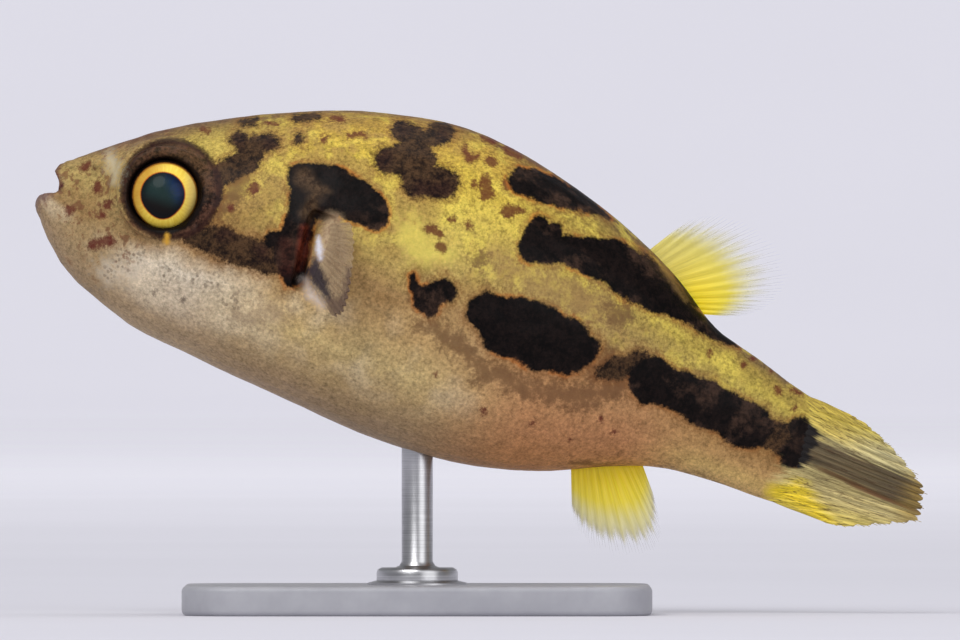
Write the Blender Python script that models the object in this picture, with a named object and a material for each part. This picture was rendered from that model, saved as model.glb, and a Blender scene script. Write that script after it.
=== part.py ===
"""A freshwater pufferfish, life size, swimming nose-up on a small display stand.

The fish is modelled level in its own frame and then pitched about the snout. In that frame +X runs from
the snout to the tail, +Z is up, and the fish's left side is at -Y. The row's origin is the centre of the
stand's underside. Every size below is in millimetres, and MM turns it into metres.
"""

import math

import bmesh
import bpy
from mathutils import Euler, Matrix, Vector

MM = 0.001
GAP = 0.3  # parts that meet keep this much air between them

# How the fish is held.
PITCH = math.radians(18.5)  # nose above tail
SNOUT_HEIGHT = 13.1  # snout tip above the ground
SNOUT_AHEAD = 12.2  # snout tip ahead of the rod, which puts the rod under the balance point

# Sections across the body: place along the fish, back, belly, half width, level of the greatest width.
SECTIONS = [
    (0.28, 1.68, -0.22, 0.78, 0.55),  # lips
    (1.0, 2.23, -0.98, 1.10, 0.57),
    (2.0, 2.87, -1.86, 1.66, 0.65),  # snout
    (3.2, 3.64, -2.41, 2.20, 0.80),
    (4.5, 4.35, -2.77, 2.72, 0.95),  # behind the eyes
    (6.5, 5.28, -3.03, 3.28, 1.10),
    (9.0, 6.20, -3.30, 3.68, 1.15),  # gills
    (12.5, 6.70, -3.65, 3.86, 1.10),  # deepest
    (15.5, 6.20, -3.54, 3.52, 1.05),
    (18.0, 5.38, -2.98, 2.84, 1.00),
    (20.0, 4.42, -2.14, 2.12, 0.92),  # dorsal and anal fins
    (21.8, 3.22, -1.60, 1.52, 0.70),
    (23.5, 2.66, -1.53, 1.12, 0.52),  # stalk of the tail
    (25.2, 2.12, -1.54, 0.80, 0.34),  # root of the tail fin
]
BACK_ROUNDING, BELLY_ROUNDING = 0.96, 0.88  # 1 is an ellipse, and less is fuller
SNOUT_SLANT = 0.24  # how far the snout's face leans back for each millimetre up
SLANT_ENDS = 2.6
SNOUT_DOME = 0.24  # how far the face stands ahead of the first section
FACE_BLUNTNESS = 0.6  # less is flatter
SIDES = 36

HEAD_ENDS, HEAD_RINGS = 7.9, 13
TRUNK_ENDS, TRUNK_RINGS = 22.0, 18
TAIL_ENDS, TAIL_RINGS = 25.2, 5

# The mouth is a notch between two full lips; the lower jaw is the longer one.
UPPER_LIP_AT, UPPER_LIP_SIZE = (0.50, 1.34), (0.26, 0.64, 0.24)
LOWER_LIP_AT, LOWER_LIP_SIZE = (0.26, 0.15), (0.33, 0.72, 0.30)
MOUTH_AT = (-0.25, 0.80)
MOUTH_SIZE = (0.87, 1.40, 0.46)

EYE_AT = (3.85, 1.94, 1.61)  # along, out from the middle, level
EYE_RADIUS = 1.16
EYE_HALF_DEPTH = 0.94
EYE_TURN = math.radians(14)  # the eyes look a little forward
EYE_LIFT = math.radians(8)  # and a little up

NOSTRIL_AT = (1.50, 1.12, 1.86)
NOSTRIL_RADIUS = 0.22

GILL_AT = (8.72, 3.62, 1.40)
GILL_SIZE = (0.17, 0.56, 1.20)
GILL_TILT = math.radians(-5)

LOBE_AT = (9.34, 3.42, 1.38)  # the fleshy root of the pectoral fin
LOBE_SIZE = (0.58, 0.60, 1.30)

# Fins are fans of rays. Each has a root line, a curve through the ray tips, and its number of rays.
FIN_THICK = 0.50
FAN_ROWS = 4
RAY_RIDGE = 0.06  # how far a ray stands proud of the web on each side
ROOT_DEPTH = 0.65  # how deep the root of a fin sits in the body

DORSAL_ROOT = [(19.10, 4.94), (21.12, 3.72)]
DORSAL_TIPS = [
    (19.95, 6.20), (20.9, 6.62), (22.1, 6.50), (23.1, 5.95),
    (23.5, 5.15), (23.2, 4.30), (22.5, 3.75),
]
DORSAL_RAYS = 8

ANAL_ROOT = [(18.95, -2.62), (20.95, -1.80)]
ANAL_TIPS = [
    (19.45, -4.05), (20.1, -4.55), (20.9, -4.70), (21.7, -4.55),
    (22.3, -4.10), (22.2, -3.40), (21.8, -2.70),
]
ANAL_RAYS = 8

PECTORAL_ROOT = [(0.0, 2.38), (0.0, 0.48)]  # out from the root line, and level
PECTORAL_TIPS = [
    (0.60, 2.66), (1.20, 2.15), (1.65, 1.55), (2.02, 0.95),
    (2.26, 0.38), (2.22, -0.12), (1.72, -0.38),
]
PECTORAL_RAYS = 10
PECTORAL_AT = (9.38, 3.80)  # along, and out from the middle
PECTORAL_FLARE = math.radians(60)  # the fin stands out from the flank by this much

# Tail fin: its edges above and below the middle, from its root to its ragged end.
CAUDAL_STARTS = TAIL_ENDS + GAP
CAUDAL_UPPER = [(25.2, 2.12), (26.6, 1.90), (27.7, 1.70), (28.7, 1.18), (29.9, 0.42)]
CAUDAL_LOWER = [(25.2, -1.52), (26.4, -1.58), (27.6, -1.62), (28.7, -1.24), (29.9, -0.66)]
CAUDAL_RAYS = 11
CAUDAL_ROWS = 7
CAUDAL_HALF_ROOT = 0.76
CAUDAL_TAPER = 2.2  # how fast the fleshy root thins towards the edge
CAUDAL_RAGGED = 0.16

BASE_LENGTH, BASE_WIDTH, BASE_THICK = 15.0, 9.6, 0.95
BASE_CORNER = 1.8
BASE_EDGE = 0.18
ROD_RADIUS = 0.5
ROD_IN_FISH = 1.1  # how far the rod goes up into the belly
FOOT_RADIUS = 1.3
FOOT_HEIGHT = 0.85
FOOT_SUNK = 0.30  # how far the rod's foot sits down in the base
FOOT_EDGE = 0.14
ROD_SIDES = 28
CORNER_STEPS = 6


def smooth_through(knots, at):
    """The value at a place on a smooth curve through knots of (place, value)."""
    places = [knot[0] for knot in knots]
    values = [knot[1] for knot in knots]
    last = len(knots) - 1
    slopes = []
    for i in range(last + 1):
        before, after = max(i - 1, 0), min(i + 1, last)
        slopes.append((values[after] - values[before]) / (places[after] - places[before]))
    i = 0
    while i < last - 1 and at > places[i + 1]:
        i += 1
    span = places[i + 1] - places[i]
    t = (at - places[i]) / span
    from_here = (1 + 2 * t) * (1 - t) ** 2 * values[i] + t * (1 - t) ** 2 * span * slopes[i]
    to_next = t * t * (3 - 2 * t) * values[i + 1] + t * t * (t - 1) * span * slopes[i + 1]
    return from_here + to_next


def curve_through(points, t):
    """The point at t, from 0 to 1, on a smooth curve through 2-D points."""
    knots = [i / (len(points) - 1) for i in range(len(points))]
    return tuple(smooth_through(list(zip(knots, [p[axis] for p in points])), t) for axis in (0, 1))


def section(place):
    """Back, belly, half width and level of the greatest width at a place along the fish."""
    return [smooth_through([(s[0], s[i]) for s in SECTIONS], place) for i in (1, 2, 3, 4)]


def ring(place):
    """The points round the body at a place."""
    back, belly, half_width, level = section(place)
    slant = SNOUT_SLANT * max(0.0, 1 - place / SLANT_ENDS)
    points = []
    for i in range(SIDES):
        angle = 2 * math.pi * i / SIDES
        on_back = math.sin(angle) > 0
        reach = back - level if on_back else level - belly
        rounding = BACK_ROUNDING if on_back else BELLY_ROUNDING
        out = half_width * math.copysign(abs(math.cos(angle)) ** rounding, math.cos(angle))
        up = reach * math.copysign(abs(math.sin(angle)) ** rounding, math.sin(angle))
        points.append(Vector((place + slant * up, out, level + up)))
    return points


def snout_face():
    """The tip, and the rings between it and the first section, which round the snout's blunt face."""
    lips = ring(SECTIONS[0][0])
    middle = Vector((SECTIONS[0][0], 0, SECTIONS[0][4]))
    forward = Vector((-SNOUT_DOME, 0, 0))
    rings = []
    for angle in (math.radians(turn) for turn in (20, 40, 60, 75)):
        shrink = math.sin(angle) ** FACE_BLUNTNESS
        rings.append([middle + (p - middle) * shrink + forward * math.cos(angle) for p in lips])
    return middle + forward, rings


def new_object(name, bm, material, parent):
    mesh = bpy.data.meshes.new(name)
    bmesh.ops.recalc_face_normals(bm, faces=bm.faces)
    bm.to_mesh(mesh)
    bm.free()
    mesh.shade_smooth()
    mesh.set_sharp_from_angle(angle=math.radians(40))
    obj = bpy.data.objects.new(name, mesh)
    bpy.context.scene.collection.objects.link(obj)
    if material:
        mesh.materials.append(material)
    if parent:
        obj.parent = parent
    return obj


def material(name, colour, roughness, metallic=0.0):
    made = bpy.data.materials.new(name)
    made.use_nodes = True
    shader = made.node_tree.nodes["Principled BSDF"]
    shader.inputs["Base Color"].default_value = (*colour, 1.0)
    shader.inputs["Roughness"].default_value = roughness
    shader.inputs["Metallic"].default_value = metallic
    return made


def loft(rings, tip=None):
    """A closed body through rings of points. The first end closes on tip, and the last is flat."""
    bm = bmesh.new()
    made = [[bm.verts.new(p * MM) for p in points] for points in rings]
    for near, far in zip(made, made[1:]):
        for i in range(len(near)):
            j = (i + 1) % len(near)
            bm.faces.new((near[i], near[j], far[j], far[i]))
    if tip is None:
        bm.faces.new(made[0])
    else:
        point = bm.verts.new(tip * MM)
        for i in range(len(made[0])):
            bm.faces.new((point, made[0][i], made[0][(i + 1) % len(made[0])]))
    bm.faces.new(made[-1])
    return bm


def places(start, end, count):
    return [start + (end - start) * i / (count - 1) for i in range(count)]


def ellipsoid(at, size, turn=(0, 0, 0), across=20, rings=10):
    bm = bmesh.new()
    bmesh.ops.create_uvsphere(bm, u_segments=across, v_segments=rings, radius=1)
    shape = Matrix.LocRotScale(Vector(at) * MM, Euler(turn), Vector(size) * MM)
    bmesh.ops.transform(bm, matrix=shape, verts=bm.verts)
    return bm


def fan(root, tips, rays, place_at, grow=0.0):
    """A fin: rays spread from a root line to a curve of tips, joined by a thinner web.

    place_at(along, level, side) gives the point in the fish's frame. A fan with grow is the cutter that
    makes room for the fin's root, larger by that much all round."""
    columns, rows = 2 * rays + 1, FAN_ROWS
    start, end = Vector(root[0]), Vector(root[1])
    along = (end - start).normalized()
    start, end = start - along * grow, end + along * grow
    inward = Vector((along.y, -along.x))
    if inward.dot(Vector(tips[len(tips) // 2]) - start) > 0:
        inward = -inward
    sheets = {-1: [], 1: []}
    for i in range(columns):
        t = i / (columns - 1)
        foot = start.lerp(end, t) + inward * (ROOT_DEPTH + grow)
        tip = Vector(curve_through(tips, t))
        ridge = RAY_RIDGE if i % 2 or grow else 0.0
        half = FIN_THICK / 2 + ridge + grow
        for side in sheets:
            line = []
            for row in range(rows + 1):
                point = foot.lerp(tip, row / rows)
                line.append(place_at(point.x, point.y, side * half))
            sheets[side].append(line)
    bm = bmesh.new()
    verts = {side: [[bm.verts.new(p * MM) for p in line] for line in sheets[side]] for side in sheets}
    for side in sheets:
        for i in range(columns - 1):
            for row in range(rows):
                a, b = verts[side][i], verts[side][i + 1]
                bm.faces.new((a[row], b[row], b[row + 1], a[row + 1]))
    edge = [(i, 0) for i in range(columns)]
    edge += [(columns - 1, row) for row in range(1, rows + 1)]
    edge += [(i, rows) for i in range(columns - 2, -1, -1)]
    edge += [(0, row) for row in range(rows - 1, 0, -1)]
    for (i, row), (j, next_row) in zip(edge, edge[1:] + edge[:1]):
        bm.faces.new((verts[-1][i][row], verts[-1][j][next_row], verts[1][j][next_row], verts[1][i][row]))
    return bm


def on_the_middle(along, level, side):
    """Where a point of a dorsal or anal fin lies in the fish's frame."""
    return Vector((along, side, level))


def on_the_flank(hand):
    """The same for a pectoral fin: hand is -1 on the fish's left and 1 on its right."""

    def place_at(out, level, side):
        turn = PECTORAL_FLARE
        x = PECTORAL_AT[0] + out * math.cos(turn) - side * math.sin(turn)
        y = PECTORAL_AT[1] + out * math.sin(turn) + side * math.cos(turn)
        return Vector((x, y * hand, level))

    return place_at


def cut(obj, cutter_mesh, operation="DIFFERENCE"):
    cutter = new_object("cutter", cutter_mesh, None, obj.parent)
    cutter.hide_render = True
    cutter.display_type = "WIRE"
    modifier = obj.modifiers.new(operation.title(), "BOOLEAN")
    modifier.operation = operation
    modifier.object = cutter


def build_head(flesh, fish):
    tip, front = snout_face()
    body = [ring(place) for place in places(SECTIONS[0][0], HEAD_ENDS - GAP / 2, HEAD_RINGS)]
    head = new_object("head", loft(front + body, tip), flesh, fish)
    for hand in (-1, 1):
        nostril = (NOSTRIL_AT[0], NOSTRIL_AT[1] * hand, NOSTRIL_AT[2])
        cut(head, ellipsoid(nostril, (NOSTRIL_RADIUS,) * 3, across=12, rings=8), "UNION")
        cut(head, eye_shape(hand, GAP))
    for at, size in ((UPPER_LIP_AT, UPPER_LIP_SIZE), (LOWER_LIP_AT, LOWER_LIP_SIZE)):
        cut(head, ellipsoid((at[0], 0, at[1]), size, across=16, rings=8), "UNION")
    cut(head, ellipsoid((MOUTH_AT[0], 0, MOUTH_AT[1]), MOUTH_SIZE, across=24, rings=12))


def eye_shape(hand, grow=0.0):
    along, out, level = EYE_AT
    size = (EYE_RADIUS + grow, EYE_HALF_DEPTH + grow, EYE_RADIUS + grow)
    turn = (EYE_LIFT * hand, 0, EYE_TURN * hand)
    return ellipsoid((along, out * hand, level), size, turn)


def build_trunk(flesh, fish):
    body = [ring(place) for place in places(HEAD_ENDS + GAP / 2, TRUNK_ENDS - GAP / 2, TRUNK_RINGS)]
    trunk = new_object("trunk", loft(body), flesh, fish)
    for hand in (-1, 1):
        lobe = (LOBE_AT[0], LOBE_AT[1] * hand, LOBE_AT[2])
        cut(trunk, ellipsoid(lobe, LOBE_SIZE), "UNION")
        gill = (GILL_AT[0], GILL_AT[1] * hand, GILL_AT[2])
        cut(trunk, ellipsoid(gill, GILL_SIZE, (0, GILL_TILT, 0), 16, 12))
        cut(trunk, fan(PECTORAL_ROOT, PECTORAL_TIPS, PECTORAL_RAYS, on_the_flank(hand), GAP))
    cut(trunk, fan(DORSAL_ROOT, DORSAL_TIPS, DORSAL_RAYS, on_the_middle, GAP))
    cut(trunk, fan(ANAL_ROOT, ANAL_TIPS, ANAL_RAYS, on_the_middle, GAP))
    bore = turned([(ROD_RADIUS + GAP, -1.0), (ROD_RADIUS + GAP, rod_top() + GAP)])
    lie_level = fish.matrix_basis.inverted()
    bmesh.ops.transform(bore, matrix=lie_level, verts=bore.verts)
    cut(trunk, bore)


def build_tail(flesh, fish):
    body = [ring(place) for place in places(TRUNK_ENDS + GAP / 2, TAIL_ENDS, TAIL_RINGS)]
    new_object("tail_stalk", loft(body), flesh, fish)


def build_eyes(gloss, fish):
    for hand, side in ((-1, "left"), (1, "right")):
        new_object(f"eye_{side}", eye_shape(hand), gloss, fish)


def build_fins(web, fish):
    dorsal = fan(DORSAL_ROOT, DORSAL_TIPS, DORSAL_RAYS, on_the_middle)
    new_object("fin_dorsal", dorsal, web, fish)
    anal = fan(ANAL_ROOT, ANAL_TIPS, ANAL_RAYS, on_the_middle)
    new_object("fin_anal", anal, web, fish)
    for hand, side in ((-1, "left"), (1, "right")):
        pectoral = fan(PECTORAL_ROOT, PECTORAL_TIPS, PECTORAL_RAYS, on_the_flank(hand))
        new_object(f"fin_pectoral_{side}", pectoral, web, fish)
    new_object("fin_caudal", caudal_fan(), web, fish)


def caudal_fan():
    """The folded tail fin: as thick as the stalk at its root, thinning to a ragged edge."""
    columns = 2 * CAUDAL_RAYS + 1
    end = CAUDAL_UPPER[-1][0]
    rings = []
    for row in range(CAUDAL_ROWS + 1):
        share = row / CAUDAL_ROWS
        place = CAUDAL_STARTS + (end - CAUDAL_STARTS) * share
        upper = smooth_through(CAUDAL_UPPER, place)
        lower = smooth_through(CAUDAL_LOWER, place)
        body = CAUDAL_HALF_ROOT * (1 - share) ** CAUDAL_TAPER
        line = []
        for i in range(columns):
            height = 1 - 2 * i / (columns - 1)
            half = max(FIN_THICK / 2, body * math.sqrt(max(0.0, 1 - height * height)))
            half += RAY_RIDGE * share ** 0.5 if i % 2 else 0.0
            ragged = CAUDAL_RAGGED * share ** 3 * (1 if i % 2 else -1)
            z = (upper + lower) / 2 + (upper - lower) / 2 * height
            line.append((place + ragged, half, z))
        around = [Vector((x, half, z)) for x, half, z in line]
        around += [Vector((x, -half, z)) for x, half, z in reversed(line)]
        rings.append(around)
    return loft(rings)


def turned(profile):
    """A solid of revolution about the upright axis, from (radius, height) up the profile."""
    angles = [2 * math.pi * i / ROD_SIDES for i in range(ROD_SIDES)]
    rings = []
    for radius, height in profile:
        rings.append([Vector((radius * math.cos(a), radius * math.sin(a), height)) for a in angles])
    return loft(rings)


def belly_height():
    """Height above the ground of the belly's surface where the rod meets it."""
    low, high = HEAD_ENDS, TRUNK_ENDS
    for _ in range(30):
        place = (low + high) / 2
        x = place * math.cos(PITCH) + section(place)[1] * math.sin(PITCH)
        low, high = (place, high) if x < SNOUT_AHEAD else (low, place)
    return SNOUT_HEIGHT - place * math.sin(PITCH) + section(place)[1] * math.cos(PITCH)


def rod_top():
    return belly_height() + ROD_IN_FISH


def build_stand(painted, steel):
    bm = bmesh.new()
    corners = []
    for sx, sy, quarter in ((1, 1, 0), (-1, 1, 1), (-1, -1, 2), (1, -1, 3)):
        for step in range(CORNER_STEPS + 1):
            angle = math.pi / 2 * (quarter + step / CORNER_STEPS)
            x = sx * (BASE_LENGTH / 2 - BASE_CORNER) + BASE_CORNER * math.cos(angle)
            y = sy * (BASE_WIDTH / 2 - BASE_CORNER) + BASE_CORNER * math.sin(angle)
            corners.append(bm.verts.new(Vector((x, y, 0)) * MM))
    bottom = bm.faces.new(corners)
    lifted = bmesh.ops.extrude_face_region(bm, geom=[bottom])["geom"]
    top = [part for part in lifted if isinstance(part, bmesh.types.BMVert)]
    bmesh.ops.translate(bm, verts=top, vec=Vector((0, 0, BASE_THICK * MM)))
    base = new_object("stand_base", bm, painted, None)
    bevel = base.modifiers.new("Edge", "BEVEL")
    bevel.width = BASE_EDGE * MM
    bevel.segments = 2
    bevel.limit_method = "ANGLE"
    bevel.angle_limit = math.radians(60)
    sunk = BASE_THICK - FOOT_SUNK
    well = turned([(FOOT_RADIUS + GAP, sunk - GAP), (FOOT_RADIUS + GAP, 2 * BASE_THICK)])
    cut(base, well)
    foot_top = sunk + FOOT_HEIGHT
    profile = [
        (FOOT_RADIUS, sunk),
        (FOOT_RADIUS, foot_top - FOOT_EDGE),
        (FOOT_RADIUS - FOOT_EDGE, foot_top),
        (ROD_RADIUS, foot_top),
        (ROD_RADIUS, rod_top()),
    ]
    new_object("stand_rod", turned(profile), steel, None)


def main():
    for obj in list(bpy.data.objects):
        bpy.data.objects.remove(obj)
    fish = bpy.data.objects.new("fish", None)
    bpy.context.scene.collection.objects.link(fish)
    fish.location = Vector((-SNOUT_AHEAD, 0, SNOUT_HEIGHT)) * MM
    fish.rotation_euler = (0, PITCH, 0)
    bpy.context.view_layer.update()

    flesh = material("skin", (0.50, 0.40, 0.11), 0.45)
    web = material("fin_web", (0.72, 0.66, 0.10), 0.40)
    gloss = material("eye", (0.03, 0.04, 0.05), 0.10)
    painted = material("stand_paint", (0.33, 0.33, 0.35), 0.45)
    steel = material("stand_steel", (0.62, 0.62, 0.63), 0.30, 1.0)

    build_head(flesh, fish)
    build_trunk(flesh, fish)
    build_tail(flesh, fish)
    build_eyes(gloss, fish)
    build_fins(web, fish)
    build_stand(painted, steel)


main()
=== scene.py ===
"""A life-size freshwater pufferfish on a small display stand: its skin, markings, eyes and fins."""

import math
from contextlib import contextmanager

import bmesh
import bpy
import numpy as np
from mathutils import Matrix, Vector, noise


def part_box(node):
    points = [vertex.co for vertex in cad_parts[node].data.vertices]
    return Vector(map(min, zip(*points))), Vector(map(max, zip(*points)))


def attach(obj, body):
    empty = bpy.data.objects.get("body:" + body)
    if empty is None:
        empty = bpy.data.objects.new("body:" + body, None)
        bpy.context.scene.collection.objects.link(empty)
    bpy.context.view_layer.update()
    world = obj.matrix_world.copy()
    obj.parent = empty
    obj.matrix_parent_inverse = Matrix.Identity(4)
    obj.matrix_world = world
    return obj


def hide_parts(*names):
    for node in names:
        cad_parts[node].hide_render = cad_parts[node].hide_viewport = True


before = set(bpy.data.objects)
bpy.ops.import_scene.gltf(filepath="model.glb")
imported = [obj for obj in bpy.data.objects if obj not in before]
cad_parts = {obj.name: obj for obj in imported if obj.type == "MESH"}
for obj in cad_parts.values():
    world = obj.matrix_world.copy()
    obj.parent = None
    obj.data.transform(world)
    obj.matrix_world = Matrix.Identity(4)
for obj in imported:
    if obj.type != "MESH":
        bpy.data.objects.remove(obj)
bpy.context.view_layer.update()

# ---- Skin ------------------------------------------------------------------------------------------
# The fish has one bare, damp skin from lips to tail root. It is grown over the head, trunk and tail
# stalk with their parting cuts closed, and fleshed out round the eyes and the roots of the fins.
# It is shaped level, in millimetres back from the snout, and then pitched nose-up as the fish swims.

PITCH = math.radians(18.5)
SNOUT = Vector((-0.0122, 0, 0.0131))
MILLIMETRE = 0.001
TO_WORLD = Matrix.Translation(SNOUT) @ Matrix.Rotation(PITCH, 4, "Y") @ Matrix.Scale(MILLIMETRE, 4)
TO_FISH = TO_WORLD.inverted()
HANDS = {"left": -1, "right": 1}

WELD = 0.0005
SKIN_GRAIN = 0.094  # size of the faces that the skin is grown from
SMOOTHING = 7

# Place along the fish, back, belly, half width, and the level of the greatest width.
SECTIONS = [
    (0.28, 1.68, -0.22, 0.78, 0.55), (1.0, 2.23, -0.98, 1.10, 0.57), (2.0, 2.87, -1.86, 1.66, 0.65),
    (3.2, 3.64, -2.41, 2.20, 0.80), (4.5, 4.35, -2.77, 2.72, 0.95), (6.5, 5.28, -3.03, 3.28, 1.10),
    (9.0, 6.20, -3.30, 3.68, 1.15), (12.5, 6.70, -3.65, 3.86, 1.10), (15.5, 6.20, -3.54, 3.52, 1.05),
    (18.0, 5.38, -2.98, 2.84, 1.00), (20.0, 4.42, -2.14, 2.12, 0.92), (21.8, 3.22, -1.60, 1.52, 0.70),
    (23.5, 2.66, -1.53, 1.12, 0.52), (25.2, 2.12, -1.54, 0.80, 0.34),
]
TAIL_WEDGE = [(25.9, 1.93, -1.48, 0.46, 0.26), (26.5, 1.66, -1.30, 0.20, 0.20)]  # thins into the tail fin
CORE_STARTS = 9.3
BACK_ROUNDING, BELLY_ROUNDING = 0.96, 0.88
CORE_SIDES, CORE_STEPS = 36, 44

EYE_TURN = math.radians(6)  # the rims of the eyes face a little forward
EYE_LIFT = math.radians(6)  # and a little up
# Rings of flesh round each eye: radius, half thickness, place out from the eye's middle, stretch inward.
EYE_RINGS = [
    (1.34, 0.24, 0.34, 1.0), (1.42, 0.21, -0.40, 3.6), (1.60, 0.36, -0.62, 2.0), (1.68, 0.40, -1.0, 1.6),
]
PECTORAL_SWELLING = (9.46, 3.02, 1.40)  # the fleshy root of the pectoral fin
PECTORAL_SWELLING_SIZE = (0.80, 0.66, 1.46)


def select_only(*objects):
    bpy.ops.object.select_all(action="DESELECT")
    for obj in objects:
        obj.select_set(True)
    bpy.context.view_layer.objects.active = objects[0]


@contextmanager
def editing(obj, picked=None):
    """Edit mode on the whole of an object, or on what has been picked of its "FACE"s or "EDGE"s."""
    select_only(obj)
    bpy.ops.object.mode_set(mode="EDIT")
    if picked:
        bpy.ops.mesh.select_mode(type=picked)
    else:
        bpy.ops.mesh.select_all(action="SELECT")
    yield
    bpy.ops.object.mode_set(mode="OBJECT")


def form_of(node):
    """A copy of a solid, welded, in the level fish's millimetres."""
    obj = bpy.data.objects.new(node + "_form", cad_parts[node].data.copy())
    bpy.context.scene.collection.objects.link(obj)
    obj.matrix_world = TO_FISH
    select_only(obj)
    bpy.ops.object.transform_apply(location=True, rotation=True, scale=True)
    with editing(obj):
        bpy.ops.mesh.remove_doubles(threshold=WELD)
    return obj


def ends(obj):
    along = [v.co.x for v in obj.data.vertices]
    return min(along), max(along)


def pick(mesh, faces=(), edges=()):
    """Selects just these faces or edges, ready for an edit-mode operator."""
    for group in (mesh.vertices, mesh.edges, mesh.polygons):
        group.foreach_set("select", [False] * len(group))
    for part in (*faces, *edges):
        part.select = True


def close_cut(body, front, back):
    """Takes away the two flat ends that face each other across a cut, and bridges their rims."""
    near = 0.02

    def on_cut(x):
        return min(abs(x - front), abs(x - back)) < near

    mesh = body.data
    pick(mesh, faces=[f for f in mesh.polygons if abs(f.normal.x) > 0.95 and on_cut(f.center.x)])
    with editing(body, "FACE"):
        bpy.ops.mesh.delete(type="FACE")
    rims = []
    for edge in mesh.edges:
        a, b = (mesh.vertices[i].co.x for i in edge.vertices)
        if abs(a - b) < near and on_cut(a) and on_cut(b):
            rims.append(edge)
    pick(mesh, edges=rims)
    with editing(body, "EDGE"):
        bpy.ops.mesh.bridge_edge_loops()


def smooth_value(knots, at):
    """The value at a place on a smooth curve through knots of (place, value)."""
    last = len(knots) - 1
    i = min(max(sum(at > place for place, _ in knots) - 1, 0), last - 1)
    slopes = []
    for j in (i, i + 1):
        before, after = knots[max(j - 1, 0)], knots[min(j + 1, last)]
        slopes.append((after[1] - before[1]) / (after[0] - before[0]))
    span = knots[i + 1][0] - knots[i][0]
    t = (at - knots[i][0]) / span
    from_here = (1 + 2 * t) * (1 - t) ** 2 * knots[i][1] + t * (1 - t) ** 2 * span * slopes[0]
    return from_here + t * t * (3 - 2 * t) * knots[i + 1][1] + t * t * (t - 1) * span * slopes[1]


def core_ring(bm, place, rows):
    """The points round the body at a place, which run through the slots cut for the fins."""
    curves = ([(row[0], row[i]) for row in rows] for i in (1, 2, 3, 4))
    back, belly, half_width, level = (smooth_value(curve, place) for curve in curves)
    ring = []
    for i in range(CORE_SIDES):
        angle = 2 * math.pi * i / CORE_SIDES
        on_back = math.sin(angle) > 0
        reach, rounding = (back - level, BACK_ROUNDING) if on_back else (level - belly, BELLY_ROUNDING)
        out = half_width * math.copysign(abs(math.cos(angle)) ** rounding, math.cos(angle))
        up = reach * math.copysign(abs(math.sin(angle)) ** rounding, math.sin(angle))
        ring.append(bm.verts.new((place, out, level + up)))
    return ring


def body_core():
    """A plain body inside the cut one, from behind the gills to where the tail fin takes over."""
    bm = bmesh.new()
    rows = SECTIONS + TAIL_WEDGE
    length = TAIL_WEDGE[-1][0] - CORE_STARTS
    rings = [core_ring(bm, CORE_STARTS + length * i / CORE_STEPS, rows) for i in range(CORE_STEPS + 1)]
    for near, far in zip(rings, rings[1:]):
        for i in range(CORE_SIDES):
            j = (i + 1) % CORE_SIDES
            bm.faces.new((near[i], near[j], far[j], far[i]))
    bm.faces.new(rings[0][::-1])
    bm.faces.new(rings[-1])
    bmesh.ops.recalc_face_normals(bm, faces=bm.faces)
    mesh = bpy.data.meshes.new("body_core")
    bm.to_mesh(mesh)
    bm.free()
    core = bpy.data.objects.new("body_core", mesh)
    bpy.context.scene.collection.objects.link(core)
    return core


def eye_middle(side):
    low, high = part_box("eye_" + side)
    return TO_FISH @ ((low + high) / 2)


def eye_axis(hand):
    out = Vector((0, hand, 0))
    out.rotate(Matrix.Rotation(EYE_LIFT * hand, 3, "X"))
    out.rotate(Matrix.Rotation(EYE_TURN * hand, 3, "Z"))
    return out


forms = [form_of(node) for node in ("head", "trunk", "tail_stalk")]
(_, head_back), (trunk_front, trunk_back), (tail_front, _) = (ends(form) for form in forms)
select_only(*forms)
bpy.ops.object.join()
skin = forms[0]
close_cut(skin, head_back, trunk_front)
close_cut(skin, trunk_back, tail_front)

flesh = [body_core()]
for side, hand in HANDS.items():
    x, y, z = PECTORAL_SWELLING
    bpy.ops.mesh.primitive_uv_sphere_add(
        segments=48, ring_count=24, radius=1, location=(x, y * hand, z), scale=PECTORAL_SWELLING_SIZE,
    )
    flesh.append(bpy.context.object)
    axis = eye_axis(hand)
    for radius, half_thick, out, stretch in EYE_RINGS:
        bpy.ops.mesh.primitive_torus_add(
            major_radius=radius, minor_radius=half_thick, major_segments=72, minor_segments=20,
            location=eye_middle(side) + axis * out, rotation=axis.to_track_quat("Z", "Y").to_euler(),
        )
        bpy.context.object.scale.z = stretch
        flesh.append(bpy.context.object)
select_only(skin, *flesh)
bpy.ops.object.join()
skin.data.remesh_voxel_size = SKIN_GRAIN
bpy.ops.object.voxel_remesh()
smooth = skin.modifiers.new("Smooth", "SMOOTH")
smooth.iterations = SMOOTHING
bpy.ops.object.modifier_apply(modifier=smooth.name)


# Creases, as their distance from the middle of the eye or mouth, their depth and their width.
LID_CREASES = [(1.60, 0.035, 0.09), (1.86, 0.022, 0.10), (1.34, 0.014, 0.05)]
LIP_CREASES = [(0.92, 0.030, 0.07), (1.22, 0.014, 0.08)]
MOUTH = (-0.05, 0.0, 0.78)
MOUTH_SLIT = (0.67, 0.10, 0.10)  # its level, depth and width
LIDS_START, LIPS_END = -0.3, 2.0  # out from the eye's middle, and along the fish
MOUTH_CORNER, MOUTH_FADE = 1.0, 0.35  # where the mouth's slit ends, and how gently
GILL_SLIT = (8.605, 1.35)  # its place along the fish at its middle, and the level there
GILL_LEAN, GILL_REACH = 0.10, 1.25
FLANK_STARTS = 2.5
# Place from the slit's middle, depth and width, for the slit and then for the edge of the cover.
GILL_CREASES = [(0.05, 0.16, 0.13), (-0.28, -0.07, 0.20)]
UNEVENNESS = [(0.55, 0.030), (1.6, 0.010), (4.5, 0.004)]  # how fine, and how high


def furrow(distance, depth, width):
    """How far the skin sinks at a distance from a crease's line. It rises where the depth is below 0."""
    return -depth * np.exp(-((distance / width) ** 2))


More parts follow.
